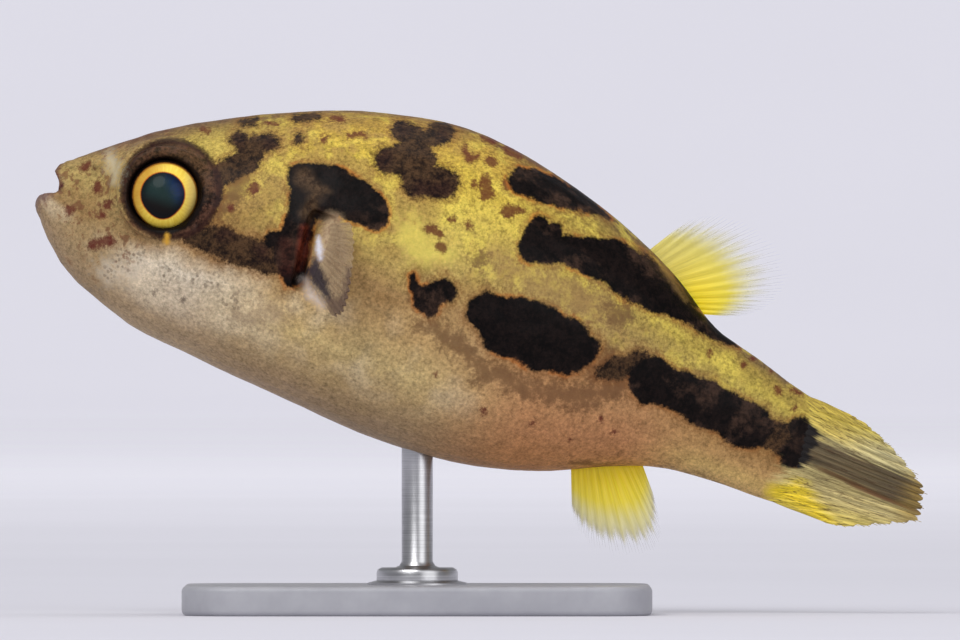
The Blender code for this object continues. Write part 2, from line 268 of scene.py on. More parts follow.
def crease_skin(mesh):
    """Works the lids, lips, gill covers and fine unevenness into the skin, along its normals."""
    count = len(mesh.vertices)
    at, normal = np.empty(count * 3), np.empty(count * 3)
    mesh.vertices.foreach_get("co", at)
    mesh.vertex_normals.foreach_get("vector", normal)
    at, normal = at.reshape(-1, 3), normal.reshape(-1, 3)
    one_side = at * (1, 0, 1) + np.abs(at) * (0, 1, 0)
    x, y, z = one_side.T
    lift = np.zeros(count)

    axis = np.array(eye_axis(1))
    from_eye = one_side - np.array(eye_middle("right"))
    outward = from_eye @ axis
    round_eye = np.linalg.norm(from_eye - outward[:, None] * axis, axis=1)
    for radius, depth, width in LID_CREASES:
        lift += (outward > LIDS_START) * furrow(round_eye - radius, depth, width)

    from_mouth = np.linalg.norm(one_side - np.array(MOUTH), axis=1)
    for radius, depth, width in LIP_CREASES:
        lift += (x < LIPS_END) * furrow(from_mouth - radius, depth, width)
    level, depth, width = MOUTH_SLIT
    lift += np.clip((MOUTH_CORNER - x) / MOUTH_FADE, 0, 1) * furrow(z - level, depth, width)

    slit, middle = GILL_SLIT
    from_slit = x - slit - GILL_LEAN * (middle - z)
    beside_slit = np.exp(-(((z - middle) / GILL_REACH) ** 4)) * (y > FLANK_STARTS)
    for place, depth, width in GILL_CREASES:
        lift += beside_slit * furrow(from_slit - place, depth, width)

    for scale, height in UNEVENNESS:
        lift += [height * noise.noise(Vector(p) * scale) for p in at]
    at += normal * lift[:, None]
    mesh.vertices.foreach_set("co", at.ravel())
    mesh.update()


def settle(obj, smooth_angle=60):
    """Puts a piece shaped in the level fish's millimetres in its place in the swimming fish."""
    obj.matrix_world = TO_WORLD
    select_only(obj)
    bpy.ops.object.transform_apply(location=True, rotation=True, scale=True)
    bpy.ops.object.shade_smooth_by_angle(angle=math.radians(smooth_angle))


crease_skin(skin.data)
settle(skin, 80)
skin.name = "skin"
skin.data.materials.clear()


class Signal:
    """A shader socket that ordinary arithmetic can be done on."""

    def __init__(self, tree, socket):
        self.tree, self.socket = tree, socket

    def node(self, kind, inputs=None, settings=None, out=0):
        """Adds a node of any kind to the same material, and returns one of its outputs."""
        made = self.tree.nodes.new(kind)
        for name, value in (settings or {}).items():
            if name == "stops":
                ramp = made.color_ramp.elements
                while len(ramp) < len(value):
                    ramp.new(0.5)
                for stop, (place, colour) in zip(ramp, value):
                    stop.position, stop.color = place, colour
            elif name == "curve":
                curve = made.mapping.curves[0].points
                while len(curve) < len(value):
                    curve.new(0.5, 0.5)
                for point, place in zip(curve, value):
                    point.location = place
                made.mapping.update()
            else:
                setattr(made, name, value)
        for name, value in (inputs or {}).items():
            if isinstance(value, Signal):
                self.tree.links.new(value.socket, made.inputs[name])
            else:
                made.inputs[name].default_value = value
        return Signal(self.tree, made.outputs[out]) if made.outputs else None

    def work_out(self, operation, first, *others):
        return self.node("ShaderNodeMath", dict(enumerate((first, *others))), {"operation": operation})

    def __add__(self, other):
        return self.work_out("ADD", self, other)

    __radd__ = __add__

    def __sub__(self, other):
        return self.work_out("SUBTRACT", self, other)

    def __rsub__(self, other):
        return self.work_out("SUBTRACT", other, self)

    def __mul__(self, other):
        return self.work_out("MULTIPLY", self, other)

    __rmul__ = __mul__

    def __truediv__(self, other):
        return self.work_out("DIVIDE", self, other)

    def __pow__(self, other):
        return self.work_out("POWER", self, other)

    def __abs__(self):
        return self.work_out("ABSOLUTE", self)

    def smaller(self, other):
        return self.work_out("MINIMUM", self, other)

    def larger(self, other):
        return self.work_out("MAXIMUM", self, other)

    def rise(self, low, high):
        """0 below low and 1 above high, with a soft step between them. It falls where high is the lower."""
        start, end, first, last = (low, high, 0.0, 1.0) if low < high else (high, low, 1.0, 0.0)
        return self.node(
            "ShaderNodeMapRange",
            {"Value": self, "From Min": start, "From Max": end, "To Min": first, "To Max": last},
            {"interpolation_type": "SMOOTHSTEP", "clamp": False},
        )

    def vector(self, operation, first, *others, out=0, **inputs):
        values = {**dict(enumerate((first, *others))), **inputs}
        return self.node("ShaderNodeVectorMath", values, {"operation": operation}, out)

    def parts(self):
        split = self.node("ShaderNodeSeparateXYZ", {0: self})
        return [Signal(self.tree, output) for output in split.socket.node.outputs]

    def join(self, x, y, z=0.0):
        return self.node("ShaderNodeCombineXYZ", {0: x, 1: y, 2: z})

    def relief(self, strength, height):
        """A shader's normal, with this raised to a height in metres."""
        return self.node("ShaderNodeBump", {"Strength": strength, "Distance": height, "Height": self})

    def blend(self, first, second):
        """Mixes two colours, with this as the share of the second."""
        return self.node("ShaderNodeMix", {0: self, 6: first, 7: second}, {"data_type": "RGBA"}, out=2)

    def times(self, colour):
        """A colour made this many times as bright."""
        return self.node("ShaderNodeHueSaturation", {"Value": self, "Color": colour})

    def curve(self, *points):
        return self.node("ShaderNodeFloatCurve", {"Value": self}, {"curve": points})

    def ramp(self, *stops):
        """A colour that changes along stops of (place, red, green, blue)."""
        colours = [(place, tone(*screen)) for place, *screen in stops]
        return self.node("ShaderNodeValToRGB", {0: self}, {"stops": colours})

    def noise(self, scale, detail=2.0, roughness=0.5, out=0):
        inputs = {"Vector": self, "Scale": scale, "Detail": detail, "Roughness": roughness}
        return self.node("ShaderNodeTexNoise", inputs, out=out)


def tone(*screen):
    """A red, green and blue given as they look on a screen, from 0 to 255, as a shader takes them."""
    return tuple(((c / 255 + 0.055) / 1.055) ** 2.4 if c > 10 else c / 255 / 12.92 for c in screen) + (1,)


def new_finish(name):
    """A material, and its points in the level fish's millimetres."""
    material = bpy.data.materials.new(name)
    material.use_nodes = True
    tree = material.node_tree
    tree.nodes.clear()
    place = Signal(tree, None).node("ShaderNodeTexCoord", out=3)
    inputs = {"Vector": place, "Location": SNOUT, "Rotation": (0, PITCH, 0), "Scale": (MILLIMETRE,) * 3}
    return material, place.node("ShaderNodeMapping", inputs, {"vector_type": "TEXTURE"})


def surface(material, point, shader):
    point.node("ShaderNodeOutputMaterial", {"Surface": shader})
    return material


def stroke(point, distance, line):
    """The nearer of a distance and that to the edge of a stroke through (along, level, half thickness)."""
    if len(line) == 1:
        (along, level, half), = line
        return (point.vector("DISTANCE", point, (along, level, 0), out=1) - half).smaller(distance)
    for (a, b, near_half), (c, d, far_half) in zip(line, line[1:]):
        run = Vector((c - a, d - b, 0))
        from_start = point.vector("SUBTRACT", point, (a, b, 0))
        share = point.vector("DOT_PRODUCT", from_start, run / run.length_squared, out=1)
        share = share.node("ShaderNodeClamp", {"Value": share})
        nearest = point.vector("SCALE", run, Scale=share)
        gap = point.vector("DISTANCE", from_start, nearest, out=1)
        distance = (gap + share * (near_half - far_half) - near_half).smaller(distance)
    return distance


def strokes(point, *lines):
    """How far a point on the fish's side is from the nearest of some strokes. It is below 0 inside them."""
    distance = FAR_AWAY
    for line in lines:
        distance = stroke(point, distance, line)
    return distance


def daub(colour, distance, edge, share, shade):
    """Lays a shade over a colour up to a share, from the outer end of an edge to its inner end."""
    return (distance.rise(*edge) * share).blend(colour, shade)


FAR_AWAY = 500.0
FISH_LENGTH = 30.0

# Each line is a stroke of pigment: place along the fish, level, and half its thickness there.
TAIL_ROOT_BLACK = [(25.50, 0.95, 0.42), (25.74, 0.70, 0.38), (25.52, 0.16, 0.50)]
TAIL_ROOT_GOLD = [(25.4, -1.20, 0.22), (25.95, -1.05, 0.38), (27.2, -1.54, 0.08)]
BLACK = [
    # Over the gill slit.
    [(7.75, 3.53, 0.45), (8.66, 3.44, 0.83), (9.45, 3.42, 0.75), (10.29, 3.19, 0.60)],
    [(7.78, 3.45, 0.41), (8.19, 2.35, 0.45), (8.18, 1.33, 0.55), (8.52, 0.57, 0.51)],
    [(8.45, 2.72, 0.34), (9.05, 2.74, 0.32)], [(7.64, 1.38, 0.30)],
    # The back, and the band below it to the tail.
    [(14.52, 5.68, 0.45), (15.45, 5.67, 0.49), (16.59, 5.63, 0.30), (17.44, 5.44, 0.11)],
    [(15.47, 4.42, 0.38), (15.55, 3.68, 0.47), (16.57, 4.00, 0.49), (17.88, 4.11, 0.73)],
    [(15.92, 4.32, 0.44)],
    [(17.88, 4.11, 0.73), (18.84, 3.94, 0.80), (19.88, 3.62, 0.62), (20.87, 3.31, 0.38),
     (22.7, 2.80, 0.07)],
    [(20.17, 4.33, 0.13), (20.98, 3.76, 0.19)],
    # The flank: an oval, a small spot in front of it, and the lobed band behind it.
    [(14.76, 1.32, 0.68), (15.70, 1.13, 1.02), (16.74, 1.13, 1.06), (17.54, 1.11, 0.92),
     (17.92, 1.15, 0.68)],
    [(12.86, 1.12, 0.49), (13.29, 1.52, 0.41)], [(13.05, 0.90, 0.34), (12.62, 1.18, 0.28)],
    [(12.62, 1.18, 0.26), (12.38, 1.40, 0.22), (12.22, 1.70, 0.15)],
    [(20.50, 0.88, 0.78), (21.40, 0.90, 0.67), (22.25, 0.76, 0.79), (23.05, 0.68, 0.72),
     (23.85, 0.52, 0.81)],
    [(20.24, 1.43, 0.32), (20.81, 1.40, 0.32)],
    TAIL_ROOT_BLACK,
]
BROWN = [
    # Behind the eye and along the cheek.
    [(5.38, 2.81, 0.34), (5.95, 3.45, 0.47), (6.08, 4.10, 0.30), (6.50, 4.25, 0.28)],
    [(5.48, 4.03, 0.26), (6.02, 3.76, 0.43)],
    [(5.15, 1.10, 0.30), (5.45, 2.10, 0.14), (5.40, 3.00, 0.28)],
    [(5.05, 0.62, 0.30), (5.74, 0.74, 0.49), (6.65, 0.69, 0.47), (7.52, 0.77, 0.60), (8.20, 0.78, 0.53)],
    # The saddle and the dots before it.
    [(10.35, 5.94, 0.38), (11.09, 5.91, 0.41), (11.63, 6.33, 0.36)],
    [(10.25, 4.89, 0.43), (11.01, 5.15, 0.72), (11.30, 4.62, 0.56), (12.15, 4.79, 0.50)],
    [(7.05, 5.30, 0.20), (7.65, 5.55, 0.17)], [(5.46, 4.58, 0.13), (5.80, 4.74, 0.13)],
    [(7.37, 4.66, 0.19)],
    # Ends of the flank's band.
    [(24.40, 0.54, 0.52), (25.2, 0.44, 0.50)],
    [(18.82, 0.62, 0.20), (19.28, 0.98, 0.40), (19.90, 1.46, 0.34)],
]
# Darker lobes in the brown.
LOBES = [
    [(10.04, 4.92, 0.30)], [(12.24, 4.66, 0.30), (11.50, 4.34, 0.26)], [(11.62, 6.26, 0.20)],
    [(10.38, 5.98, 0.22)], [(6.50, 4.20, 0.20)], [(5.46, 3.98, 0.18)], [(6.10, 1.00, 0.24)],
    [(7.40, 0.90, 0.30)],
]
# Paler and duller places: a stroke, how strong it is, and its colour.
PATCHES = [
    ([(14.3, 3.05, 0.24), (16.2, 2.75, 0.42), (18.5, 2.50, 0.45)], 0.50, tone(146, 114, 74)),
    ([(2.90, -1.25, 0.28), (3.70, -1.00, 0.30)], 0.45, tone(214, 200, 178)),
    ([(7.40, -1.15, 0.30), (8.50, -0.85, 0.35)], 0.50, tone(148, 124, 98)),
    ([(11.60, 3.10, 0.22), (12.20, 2.42, 0.34), (12.90, 2.62, 0.20)], 0.52, tone(228, 212, 100)),
]
CLOUDS = [
    [(12.9, 0.35, 0.22), (13.5, 0.30, 0.34), (15.0, -0.35, 0.34), (16.8, -0.62, 0.42), (18.6, -0.25, 0.40),
     (19.5, 0.40, 0.42)],  # under the oval
    [(18.75, 0.90, 0.46), (19.35, 0.55, 0.50), (20.0, 1.25, 0.40)],
    [(18.72, 2.61, 0.42)], [(5.75, 1.75, 0.30), (6.05, 2.9, 0.45)],
    [(14.03, 2.84, 0.34)], [(12.35, 1.85, 0.14), (12.50, 1.35, 0.30)],
    [(21.2, -1.78, 0.10), (23.4, -1.62, 0.16)],  # under the tail stalk
    [(18.9, -2.42, 0.14), (20.4, -2.00, 0.12)],  # root of the anal fin
    [(1.2, 2.25, 0.12), (3.2, 3.55, 0.16)],
]
MAROON = [
    # Snout and cheek.
    [(1.71, 1.17, 0.18)], [(1.13, 1.65, 0.16)], [(1.08, 0.19, 0.13)], [(2.15, 0.77, 0.17)],
    [(2.14, 0.38, 0.13)], [(6.48, 2.71, 0.18)], [(5.96, 1.92, 0.11)],
    [(2.16, -0.68, 0.13), (2.66, -0.31, 0.14)],
    # Nape and back.
    [(4.25, 3.93, 0.06), (4.50, 3.99, 0.05)], [(6.20, 4.85, 0.07), (6.50, 4.92, 0.05)],
    [(8.05, 4.91, 0.12)],
    [(8.10, 5.62, 0.09), (8.40, 5.68, 0.09)], [(8.85, 5.30, 0.11), (9.20, 5.40, 0.12)],
    [(12.42, 6.02, 0.12), (12.66, 5.84, 0.18), (12.92, 5.98, 0.11)], [(13.40, 5.90, 0.21)],
    [(12.90, 6.58, 0.13), (13.30, 6.60, 0.12)], [(13.82, 6.50, 0.17), (14.15, 6.42, 0.13)],
    [(13.34, 5.36, 0.13), (13.58, 4.92, 0.24)], [(13.08, 5.10, 0.14)], [(14.08, 5.38, 0.15)],
    # Flank.
    [(14.35, 4.58, 0.16), (14.79, 4.78, 0.10)], [(12.77, 3.77, 0.11)], [(13.32, 3.78, 0.12)],
    [(12.12, 3.26, 0.15), (12.50, 3.23, 0.13)], [(12.75, 2.80, 0.21)],
    [(13.90, -1.08, 0.06)], [(15.67, -1.73, 0.13)], [(17.28, -1.57, 0.06)], [(18.60, -1.63, 0.06)],
    [(19.32, -0.77, 0.06)], [(19.87, -1.00, 0.08)],
    # Tail stalk, above and below.
    [(22.00, 2.31, 0.10)], [(22.80, 2.72, 0.06)], [(23.06, 2.32, 0.12)], [(23.30, 2.62, 0.07)],
    [(24.00, 2.42, 0.06)], [(24.42, 1.91, 0.12)], [(24.86, 2.04, 0.09), (25.20, 2.00, 0.06)],
    [(25.05, 1.55, 0.08)], [(21.00, -1.92, 0.16), (22.40, -1.88, 0.20), (23.80, -1.72, 0.12)],
]
CHEEK_CLUSTERS = [
    [(3.30, -0.70, 0.40), (3.80, -0.36, 0.24)], [(2.92, -1.32, 0.22)], [(4.70, -0.76, 0.26)],
    [(5.70, -0.60, 0.22), (6.40, -0.42, 0.24)], [(6.95, -0.92, 0.30)],
]
CHEEK_DOTS = [[(4.56, -1.43, 0.06)], [(5.50, -1.43, 0.07)]]

# The colours of the flesh from belly to back: (height, red, green, blue). Each part of the body has
# its own, which take over from the head's between two places along the fish.
HEAD_TONES = [
    (0.0, 170, 146, 114), (0.08, 168, 144, 112), (0.18, 186, 168, 142), (0.30, 194, 180, 158),
    (0.40, 150, 122, 84), (0.52, 128, 98, 58), (0.66, 158, 126, 70), (0.80, 180, 156, 80),
    (0.90, 172, 150, 74), (1.0, 110, 84, 58),
]
TRUNK_TONES = [
    (0.0, 166, 140, 112), (0.06, 160, 134, 100), (0.13, 168, 142, 100), (0.22, 184, 160, 110),
    (0.34, 168, 138, 92), (0.45, 150, 120, 78), (0.56, 170, 146, 82), (0.68, 190, 168, 82),
    (0.84, 190, 164, 66), (0.95, 174, 142, 62), (1.0, 96, 66, 46),
]
REAR_TONES = [
    (0.0, 192, 138, 90), (0.06, 178, 126, 82), (0.16, 174, 124, 84), (0.30, 164, 122, 82),
    (0.45, 142, 104, 66), (0.60, 154, 130, 76), (0.78, 166, 144, 68), (0.92, 148, 126, 62),
    (1.0, 88, 64, 50),
]
STALK_TONES = [
    (0.0, 196, 162, 106), (0.10, 192, 160, 100), (0.22, 170, 134, 86), (0.34, 142, 108, 66),
    (0.50, 130, 102, 58), (0.64, 150, 130, 72), (0.80, 168, 148, 68), (0.93, 140, 118, 60),
    (1.0, 110, 88, 60),
]
SNOUT_TONES = [
    (0.0, 156, 132, 102), (0.2, 154, 130, 94), (0.45, 150, 124, 82), (0.7, 160, 138, 84),
    (0.90, 148, 124, 80), (1.0, 112, 84, 70),
]
LATER_TONES = [
    (5.2, 8.6, TRUNK_TONES), (13.0, 17.5, REAR_TONES), (20.0, 23.0, STALK_TONES), (4.2, 2.2, SNOUT_TONES),
]
LEVEL_SPAN = 20  # levels are divided by this, to fit a curve's 0 to 1
# The colours follow the body's outline on to the tail's tip, and pass over one of its rows.
OUTLINE = [row[:3] for row in SECTIONS if row[0] != 4.5] + [(FISH_LENGTH, 1.8, -1.5)]


def tail_colours(point, along, across, level):
    """The tail fin's streaks, with the noises they are made from: pale and yellow, round a dark middle."""
    lane = (level - 0.15 + (along - 25.5) * 0.03) * (along * 0.16 - 3.1)
    lines = point.join(along * 0.30, across * 1.2, lane * 5.0).noise(1.0, 4.0, 0.65)
    fine = point.join(along * 0.55, across * 2.0, lane * 11.0).noise(1.0, 3.0, 0.6)
    colour = (level / 4 + 0.5).ramp(
        (0.0, 214, 180, 50), (0.12, 200, 180, 84), (0.30, 190, 174, 118), (0.42, 172, 156, 104),
        (0.60, 184, 170, 116), (0.78, 204, 192, 140), (0.90, 196, 180, 92), (1.0, 160, 136, 64),
    )
    streak, thread = lines - 0.5, fine - 0.5
    side = point.join(along, level)
    gold = strokes(side, TAIL_ROOT_GOLD) + (streak * 0.9 + thread * 0.5)
    colour = daub(colour, gold, (0.35, -0.20), 0.92, tone(232, 204, 44))
    near_tail = (along + streak * 2.4).rise(28.3, 26.4) * 0.75
    colour = daub(colour, level + streak * 0.8, (0.70, 1.15), near_tail, tone(196, 172, 70))
    band = level - 0.44 + (along - 26) * 0.09
    colour = daub(colour, abs(band + streak * 0.7), (0.62, 0.32), 0.88, tone(66, 52, 40))
    below_band = abs(band + 0.46 + streak * 0.25)
    colour = daub(colour, below_band, (0.11, 0.02), along.rise(26.0, 26.8) * 0.75, tone(88, 48, 24))
    colour = daub(colour, along + streak * 0.6, (28.9, 29.8), 0.6, tone(158, 130, 62))
    colour = daub(colour, abs(thread), (0.030, 0.004), 0.50, tone(92, 70, 42))
    colour = daub(colour, abs(lines - 0.52), (0.020, 0.002), 0.75, tone(70, 48, 30))
    colour = (streak * 1.5 + thread * 1.8 + 1.0).larger(0.25).smaller(1.35).times(colour)
    root = strokes(side, TAIL_ROOT_BLACK) + streak * 0.8 + thread * 0.6
    return daub(colour, root, (0.10, -0.12), 1.0, tone(20, 15, 14)), lines, fine


def fin_root(side, colour, fray):
    """A painted white highlight on the fold behind the gill slit, and below it a blue-grey foot of painted
    shade, which skin and fin share.
    """
    pale = strokes(side, [(8.92, 0.44, 0.10), (9.30, 0.08, 0.14), (9.72, -0.14, 0.06)])
    colour = daub(colour, pale + fray, (0.20, -0.16), 0.7, tone(208, 194, 184))
    # The foot is painted shade, blue-grey, at the bottom of the gill opening.
    foot = strokes(side, [(9.08, 1.12, 0.08), (9.16, 0.80, 0.24), (9.52, 0.48, 0.20), (9.78, 0.22, 0.10)])
    colour = daub(colour, foot + fray * 0.7, (0.14, -0.12), 0.92, tone(46, 42, 52))
    # The fold's white is a painted highlight.
    fold_highlight = strokes(side, [(8.93, 1.86, 0.02), (9.08, 1.52, 0.08), (9.20, 1.28, 0.03)])
    return daub(colour, fold_highlight + fray * 0.6, (0.13, -0.09), 1.0, tone(214, 212, 220))


class SkinGuide:
    """What the skin's colours go by: places on the fish, and the noises that break them up."""

    def __init__(self, point):
        self.point = point
        self.along, self.across, self.level = point.parts()
        self.side = point.join(self.along, self.level)
        self.grain = point.noise(9.0, 3.0, 0.75)
        self.coarse = point.noise(2.6, 4.0, 0.7)
        self.drift = point.noise(0.9, 3.0, 0.6)
        self.mottle = (self.coarse * 0.6 + self.grain * 0.5).rise(0.42, 0.70)
        self.fray = (self.grain - 0.5) * 0.34
        self.clump = self.coarse - 0.5

        # Height runs from 0 at the belly to 1 on the back.
        back, belly = self.outline(1), self.outline(2)
        self.height = (self.level / LEVEL_SPAN + 0.5 - belly) / (back - belly) + (self.drift - 0.5) * 0.10

        # The markings are drawn on a side whose places wander a little, so that their edges do.
        wander = point.vector("SUBTRACT", point.noise(1.5, 2.0, 0.5, out=1), (0.5, 0.5, 0.5))
        moved = point.vector("ADD", point, point.vector("SCALE", wander, Scale=0.42))
        moved_along, _, moved_level = moved.parts()
        self.flat = point.join(moved_along, moved_level)

    def outline(self, column):
        knots = [(row[0] / FISH_LENGTH, row[column] / LEVEL_SPAN + 0.5) for row in OUTLINE]
        return (self.along / FISH_LENGTH).curve(*knots)

    def mottled(self, dark, light):
        return self.mottle.blend(tone(*dark), tone(*light))


def flesh_colour(guide):
    """Cream below and olive-yellow above, in soft patches, with fine dots of pigment all over."""
    point, along, height = guide.point, guide.along, guide.height
    colour = height.ramp(*HEAD_TONES)
    for start, end, tones in LATER_TONES:
        colour = along.rise(start, end).blend(colour, height.ramp(*tones))
    cream = point.noise(0.55, 2.0).rise(0.44, 0.66) * height.rise(0.42, 0.30) * height.rise(0.06, 0.2)
    colour = (cream * along.rise(17, 13) * 0.40).blend(colour, tone(206, 190, 162))
    golden = point.noise(1.3, 4.0, 0.65).rise(0.46, 0.66) * height.rise(0.50, 0.66) * along.rise(4.5, 7.0)
    colour = (golden * 0.55).blend(colour, tone(214, 194, 84))
    dull = point.noise(1.05, 3.0, 0.6).rise(0.42, 0.58) * height.rise(0.48, 0.62)
    colour = (dull * along.rise(13.5, 11.0) * along.rise(5.0, 6.2) * 0.72).blend(colour, tone(148, 118, 66))
    dusky = point.noise(0.8, 3.0, 0.6).rise(0.50, 0.64) * height.rise(0.30, 0.42) * height.rise(0.80, 0.62)
    colour = (dusky * 0.45).blend(colour, tone(128, 96, 58))
    dots = guide.grain - 0.5
    colour = (dots * (height * 0.8 + 1.7) + guide.clump * 0.9 + 1.0).times(colour)
    freckled = (height.rise(0.50, 0.72) + along.rise(4.0, 2.6)).smaller(1.0)
    colour = daub(colour, guide.coarse + dots * 0.45, (0.58, 0.70), freckled * 0.60, tone(104, 66, 40))
    snout = along.rise(4.2, 3.0) * height.rise(0.10, 0.26) * 0.68
    return daub(colour, point.noise(3.6, 2.0, 0.6) + dots * 0.3, (0.56, 0.64), snout, tone(104, 64, 46))


def dark_markings(guide, colour):
    """Clouds, dots, brown and black blotches, from the faintest to the darkest."""
    flat, fray, clump = guide.flat, guide.fray, guide.clump
    for line, share, shade in PATCHES:
        colour = daub(colour, strokes(flat, line) + fray * 1.4 + clump * 1.7, (0.42, -0.34), share, shade)
    clouds = strokes(flat, *CLOUDS) + fray * 1.6 + clump * 1.7
    colour = daub(colour, clouds, (0.24, -0.30), guide.grain * 1.1 + 0.08, tone(92, 62, 42))
    colour = daub(colour, strokes(flat, *MAROON) + fray, (0.10, -0.08), 0.85, tone(88, 34, 30))

    brown, black = strokes(flat, *BROWN), strokes(flat, *BLACK)
    colour = daub(colour, brown.smaller(black) + fray * 1.6, (0.28, 0.0), 0.42, tone(120, 76, 40))
    rim = guide.drift.rise(0.44, 0.58) * (guide.along.rise(20, 16) * 0.30 + 0.12)
    colour = daub(colour, black + fray * 0.3, (0.12, 0.02), rim, tone(196, 112, 44))
    colour = daub(colour, brown + fray, (0.07, -0.10), 1.0, guide.mottled((26, 17, 13), (80, 58, 38)))
    lobes = strokes(flat, *LOBES) + fray + clump * 0.6
    colour = daub(colour, lobes, (0.26, -0.26), 0.75, guide.mottled((24, 12, 12), (54, 32, 28)))

    # The black is worn brown in places, but not in the middle of the oval or of the gill's mark.
    unworn = strokes(flat, [(15.2, 1.25, 0.7), (17.2, 1.10, 0.7)], [(9.3, 3.5, 0.4)])
    worn = (guide.point.noise(0.7, 2.0) + clump * 0.5).rise(0.48, 0.66) * (guide.mottle * 0.6 + 0.25)
    pigment = (worn * unworn.rise(0.1, 0.9)).blend(guide.mottled((7, 5, 5), (26, 18, 16)), tone(66, 48, 38))
    colour = daub(colour, black + fray * 0.7, (0.06, -0.08), 1.0, pigment)
    faded = strokes(flat, [(7.78, 3.50, 0.30), (8.55, 3.35, 0.26), (8.30, 2.50, 0.22)]) + fray
    colour = daub(colour, faded, (0.14, -0.24), 0.8, guide.mottled((46, 32, 22), (96, 74, 52)))
    streak = strokes(guide.side, [(19.66, 4.46, 0.07), (20.67, 3.70, 0.04)]) + fray
    return daub(colour, streak, (0.12, -0.10), 0.6, tone(132, 104, 58))


def face(guide, colour):
    """Grey-brown lids with a dark line round them and black next to the eye, then the lips and mouth."""
    side, fray, dots = guide.side, guide.fray, guide.grain - 0.5
    eye = eye_middle("right")
    lids = side.vector("DISTANCE", side, (eye.x + 0.12, eye.z + 0.24, 0), out=1) + dots * 0.16
    colour = daub(colour, lids, (1.72, 1.48), 0.95, guide.mottled((20, 9, 7), (90, 60, 46)))
    colour = daub(colour, lids, (1.72, 1.50), guide.drift.rise(0.54, 0.64) * 0.40, tone(94, 74, 64))
    colour = daub(colour, abs(lids - 1.55), (0.15, 0.04), 0.7, tone(40, 20, 17))
    from_eye = side.vector("DISTANCE", side, (eye.x, eye.z, 0), out=1) + dots * 0.12
    colour = daub(colour, from_eye, (1.36, 1.20), 1.0, tone(18, 11, 9))
    drop = strokes(side, [(4.33, 0.42, 0.05), (4.37, 0.22, 0.08)])
    lips = side.vector("DISTANCE", side, (-0.05, 0.80, 0), out=1) + dots * 0.2
    colour = daub(colour, lips, (0.80, 0.45), 0.40, tone(116, 84, 84))
    mouth = strokes(side, [(0.10, 0.60, 0.02), (0.46, 0.68, 0.05), (0.60, 0.84, 0.02)])
    colour = daub(colour, mouth + fray * 0.5, (0.12, -0.06), 0.85, tone(58, 26, 28))
    lower_lip = strokes(side, [(0.20, 0.42, 0.02), (-0.04, 0.24, 0.05), (0.00, -0.04, 0.03)])
    colour = daub(colour, lower_lip + fray, (0.32, -0.10), 0.70, tone(94, 68, 72))
    upper_lip = strokes(side, [(0.58, 0.86, 0.02), (0.25, 1.24, 0.03), (0.34, 1.62, 0.03)])
    colour = daub(colour, upper_lip + fray * 0.5, (0.12, -0.05), 0.75, tone(80, 38, 42))
    return daub(colour, drop + fray * 0.5, (0.10, -0.07), 1.0, tone(196, 148, 54))


def cheek(guide, colour):
    """Small grey dots in clusters on the pale cheek, and a pale patch of painted highlight in front of the
    eye.
    """
    flat, fray = guide.flat, guide.fray
    cells = guide.point.node("ShaderNodeTexVoronoi", {"Vector": guide.point, "Scale": 6.5})
    clusters = strokes(flat, *CHEEK_CLUSTERS).rise(0.22, -0.12) * 0.52
    colour = daub(colour, cells + guide.clump * 0.8, (0.44, 0.26), clusters, tone(98, 84, 68))
    dots = strokes(flat, *CHEEK_DOTS) + fray * 0.6
    colour = daub(colour, dots, (0.10, -0.06), 0.7, tone(92, 78, 68))
    # The pale patch in front of the eye is a painted highlight.
    pale = strokes(flat, [(1.78, 2.20, 0.10), (2.04, 1.92, 0.18), (2.24, 1.58, 0.05)])
    return daub(colour, pale + fray * 2 + guide.clump * 0.5, (0.30, -0.24), 0.55, tone(200, 190, 164))


def gill(guide, colour):
    """The gill slit is dark red inside. Behind it the fin's fleshy root is beige."""
    side, fray = guide.side, guide.fray
    inside = strokes(side, [(8.42, 2.0, 0.14), (8.62, 1.3, 0.22), (8.66, 0.75, 0.10)]) + fray * 0.5
    colour = daub(colour, inside, (0.12, -0.10), 1.0, guide.mottled((50, 18, 15), (108, 50, 34)))
    ember = strokes(side, [(8.05, 1.35, 0.20), (8.30, 0.62, 0.22)]) + fray
    colour = daub(colour, ember, (0.25, -0.20), 0.55, guide.mottled((30, 12, 10), (74, 34, 26)))
    root = strokes(side, [(9.20, 2.44, 0.30), (9.50, 1.5, 0.55), (9.7, 0.7, 0.50)]) + fray
    colour = daub(colour, root, (0.24, -0.20), 1.0, guide.mottled((144, 118, 92), (182, 158, 124)))
    return fin_root(side, colour, fray)


def tailward(guide, colour):
    """Towards the tail fin the skin turns yellow below, and takes on the fin's streaks."""
    gold = strokes(guide.flat, TAIL_ROOT_GOLD) + guide.clump * 0.6
    colour = daub(colour, gold, (0.35, -0.2), 0.85, tone(228, 200, 46))
    streaks, lines, _ = tail_colours(guide.point, guide.along, guide.across, guide.level)
    blended = guide.along - abs(guide.level + 0.9) * 0.15 + (lines - 0.5) * 1.6 + guide.fray
    return daub(colour, blended, (24.9, 25.8), 1.0, streaks)


def skin_finish():
    """Wet skin with a fine pebbled grain."""
    material, point = new_finish("fish_skin")
    guide = SkinGuide(point)
    colour = flesh_colour(guide)
    for paint in (dark_markings, face, cheek, gill, tailward):
        colour = paint(guide, colour)
    pebbles = point.node("ShaderNodeTexVoronoi", {"Vector": point, "Scale": 6.5})
    bumps = point.noise(16.0, 2.0, 0.6) * 0.5 + pebbles * 0.35 + guide.coarse * 0.8
    shader = point.node("ShaderNodeBsdfPrincipled", {
        "Base Color": colour, "Roughness": guide.grain * 0.20 + 0.36, "Normal": bumps.relief(0.55, 0.00003),
        "Coat Weight": 0.03, "Coat Roughness": 0.20, "Specular IOR Level": 0.04,
        "Subsurface Weight": 0.06, "Subsurface Radius": (1.0, 0.5, 0.25), "Subsurface Scale": 0.0003,
    })
    return surface(material, point, shader)


skin.data.materials.append(skin_finish())
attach(skin, "root")
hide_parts("head", "trunk", "tail_stalk")

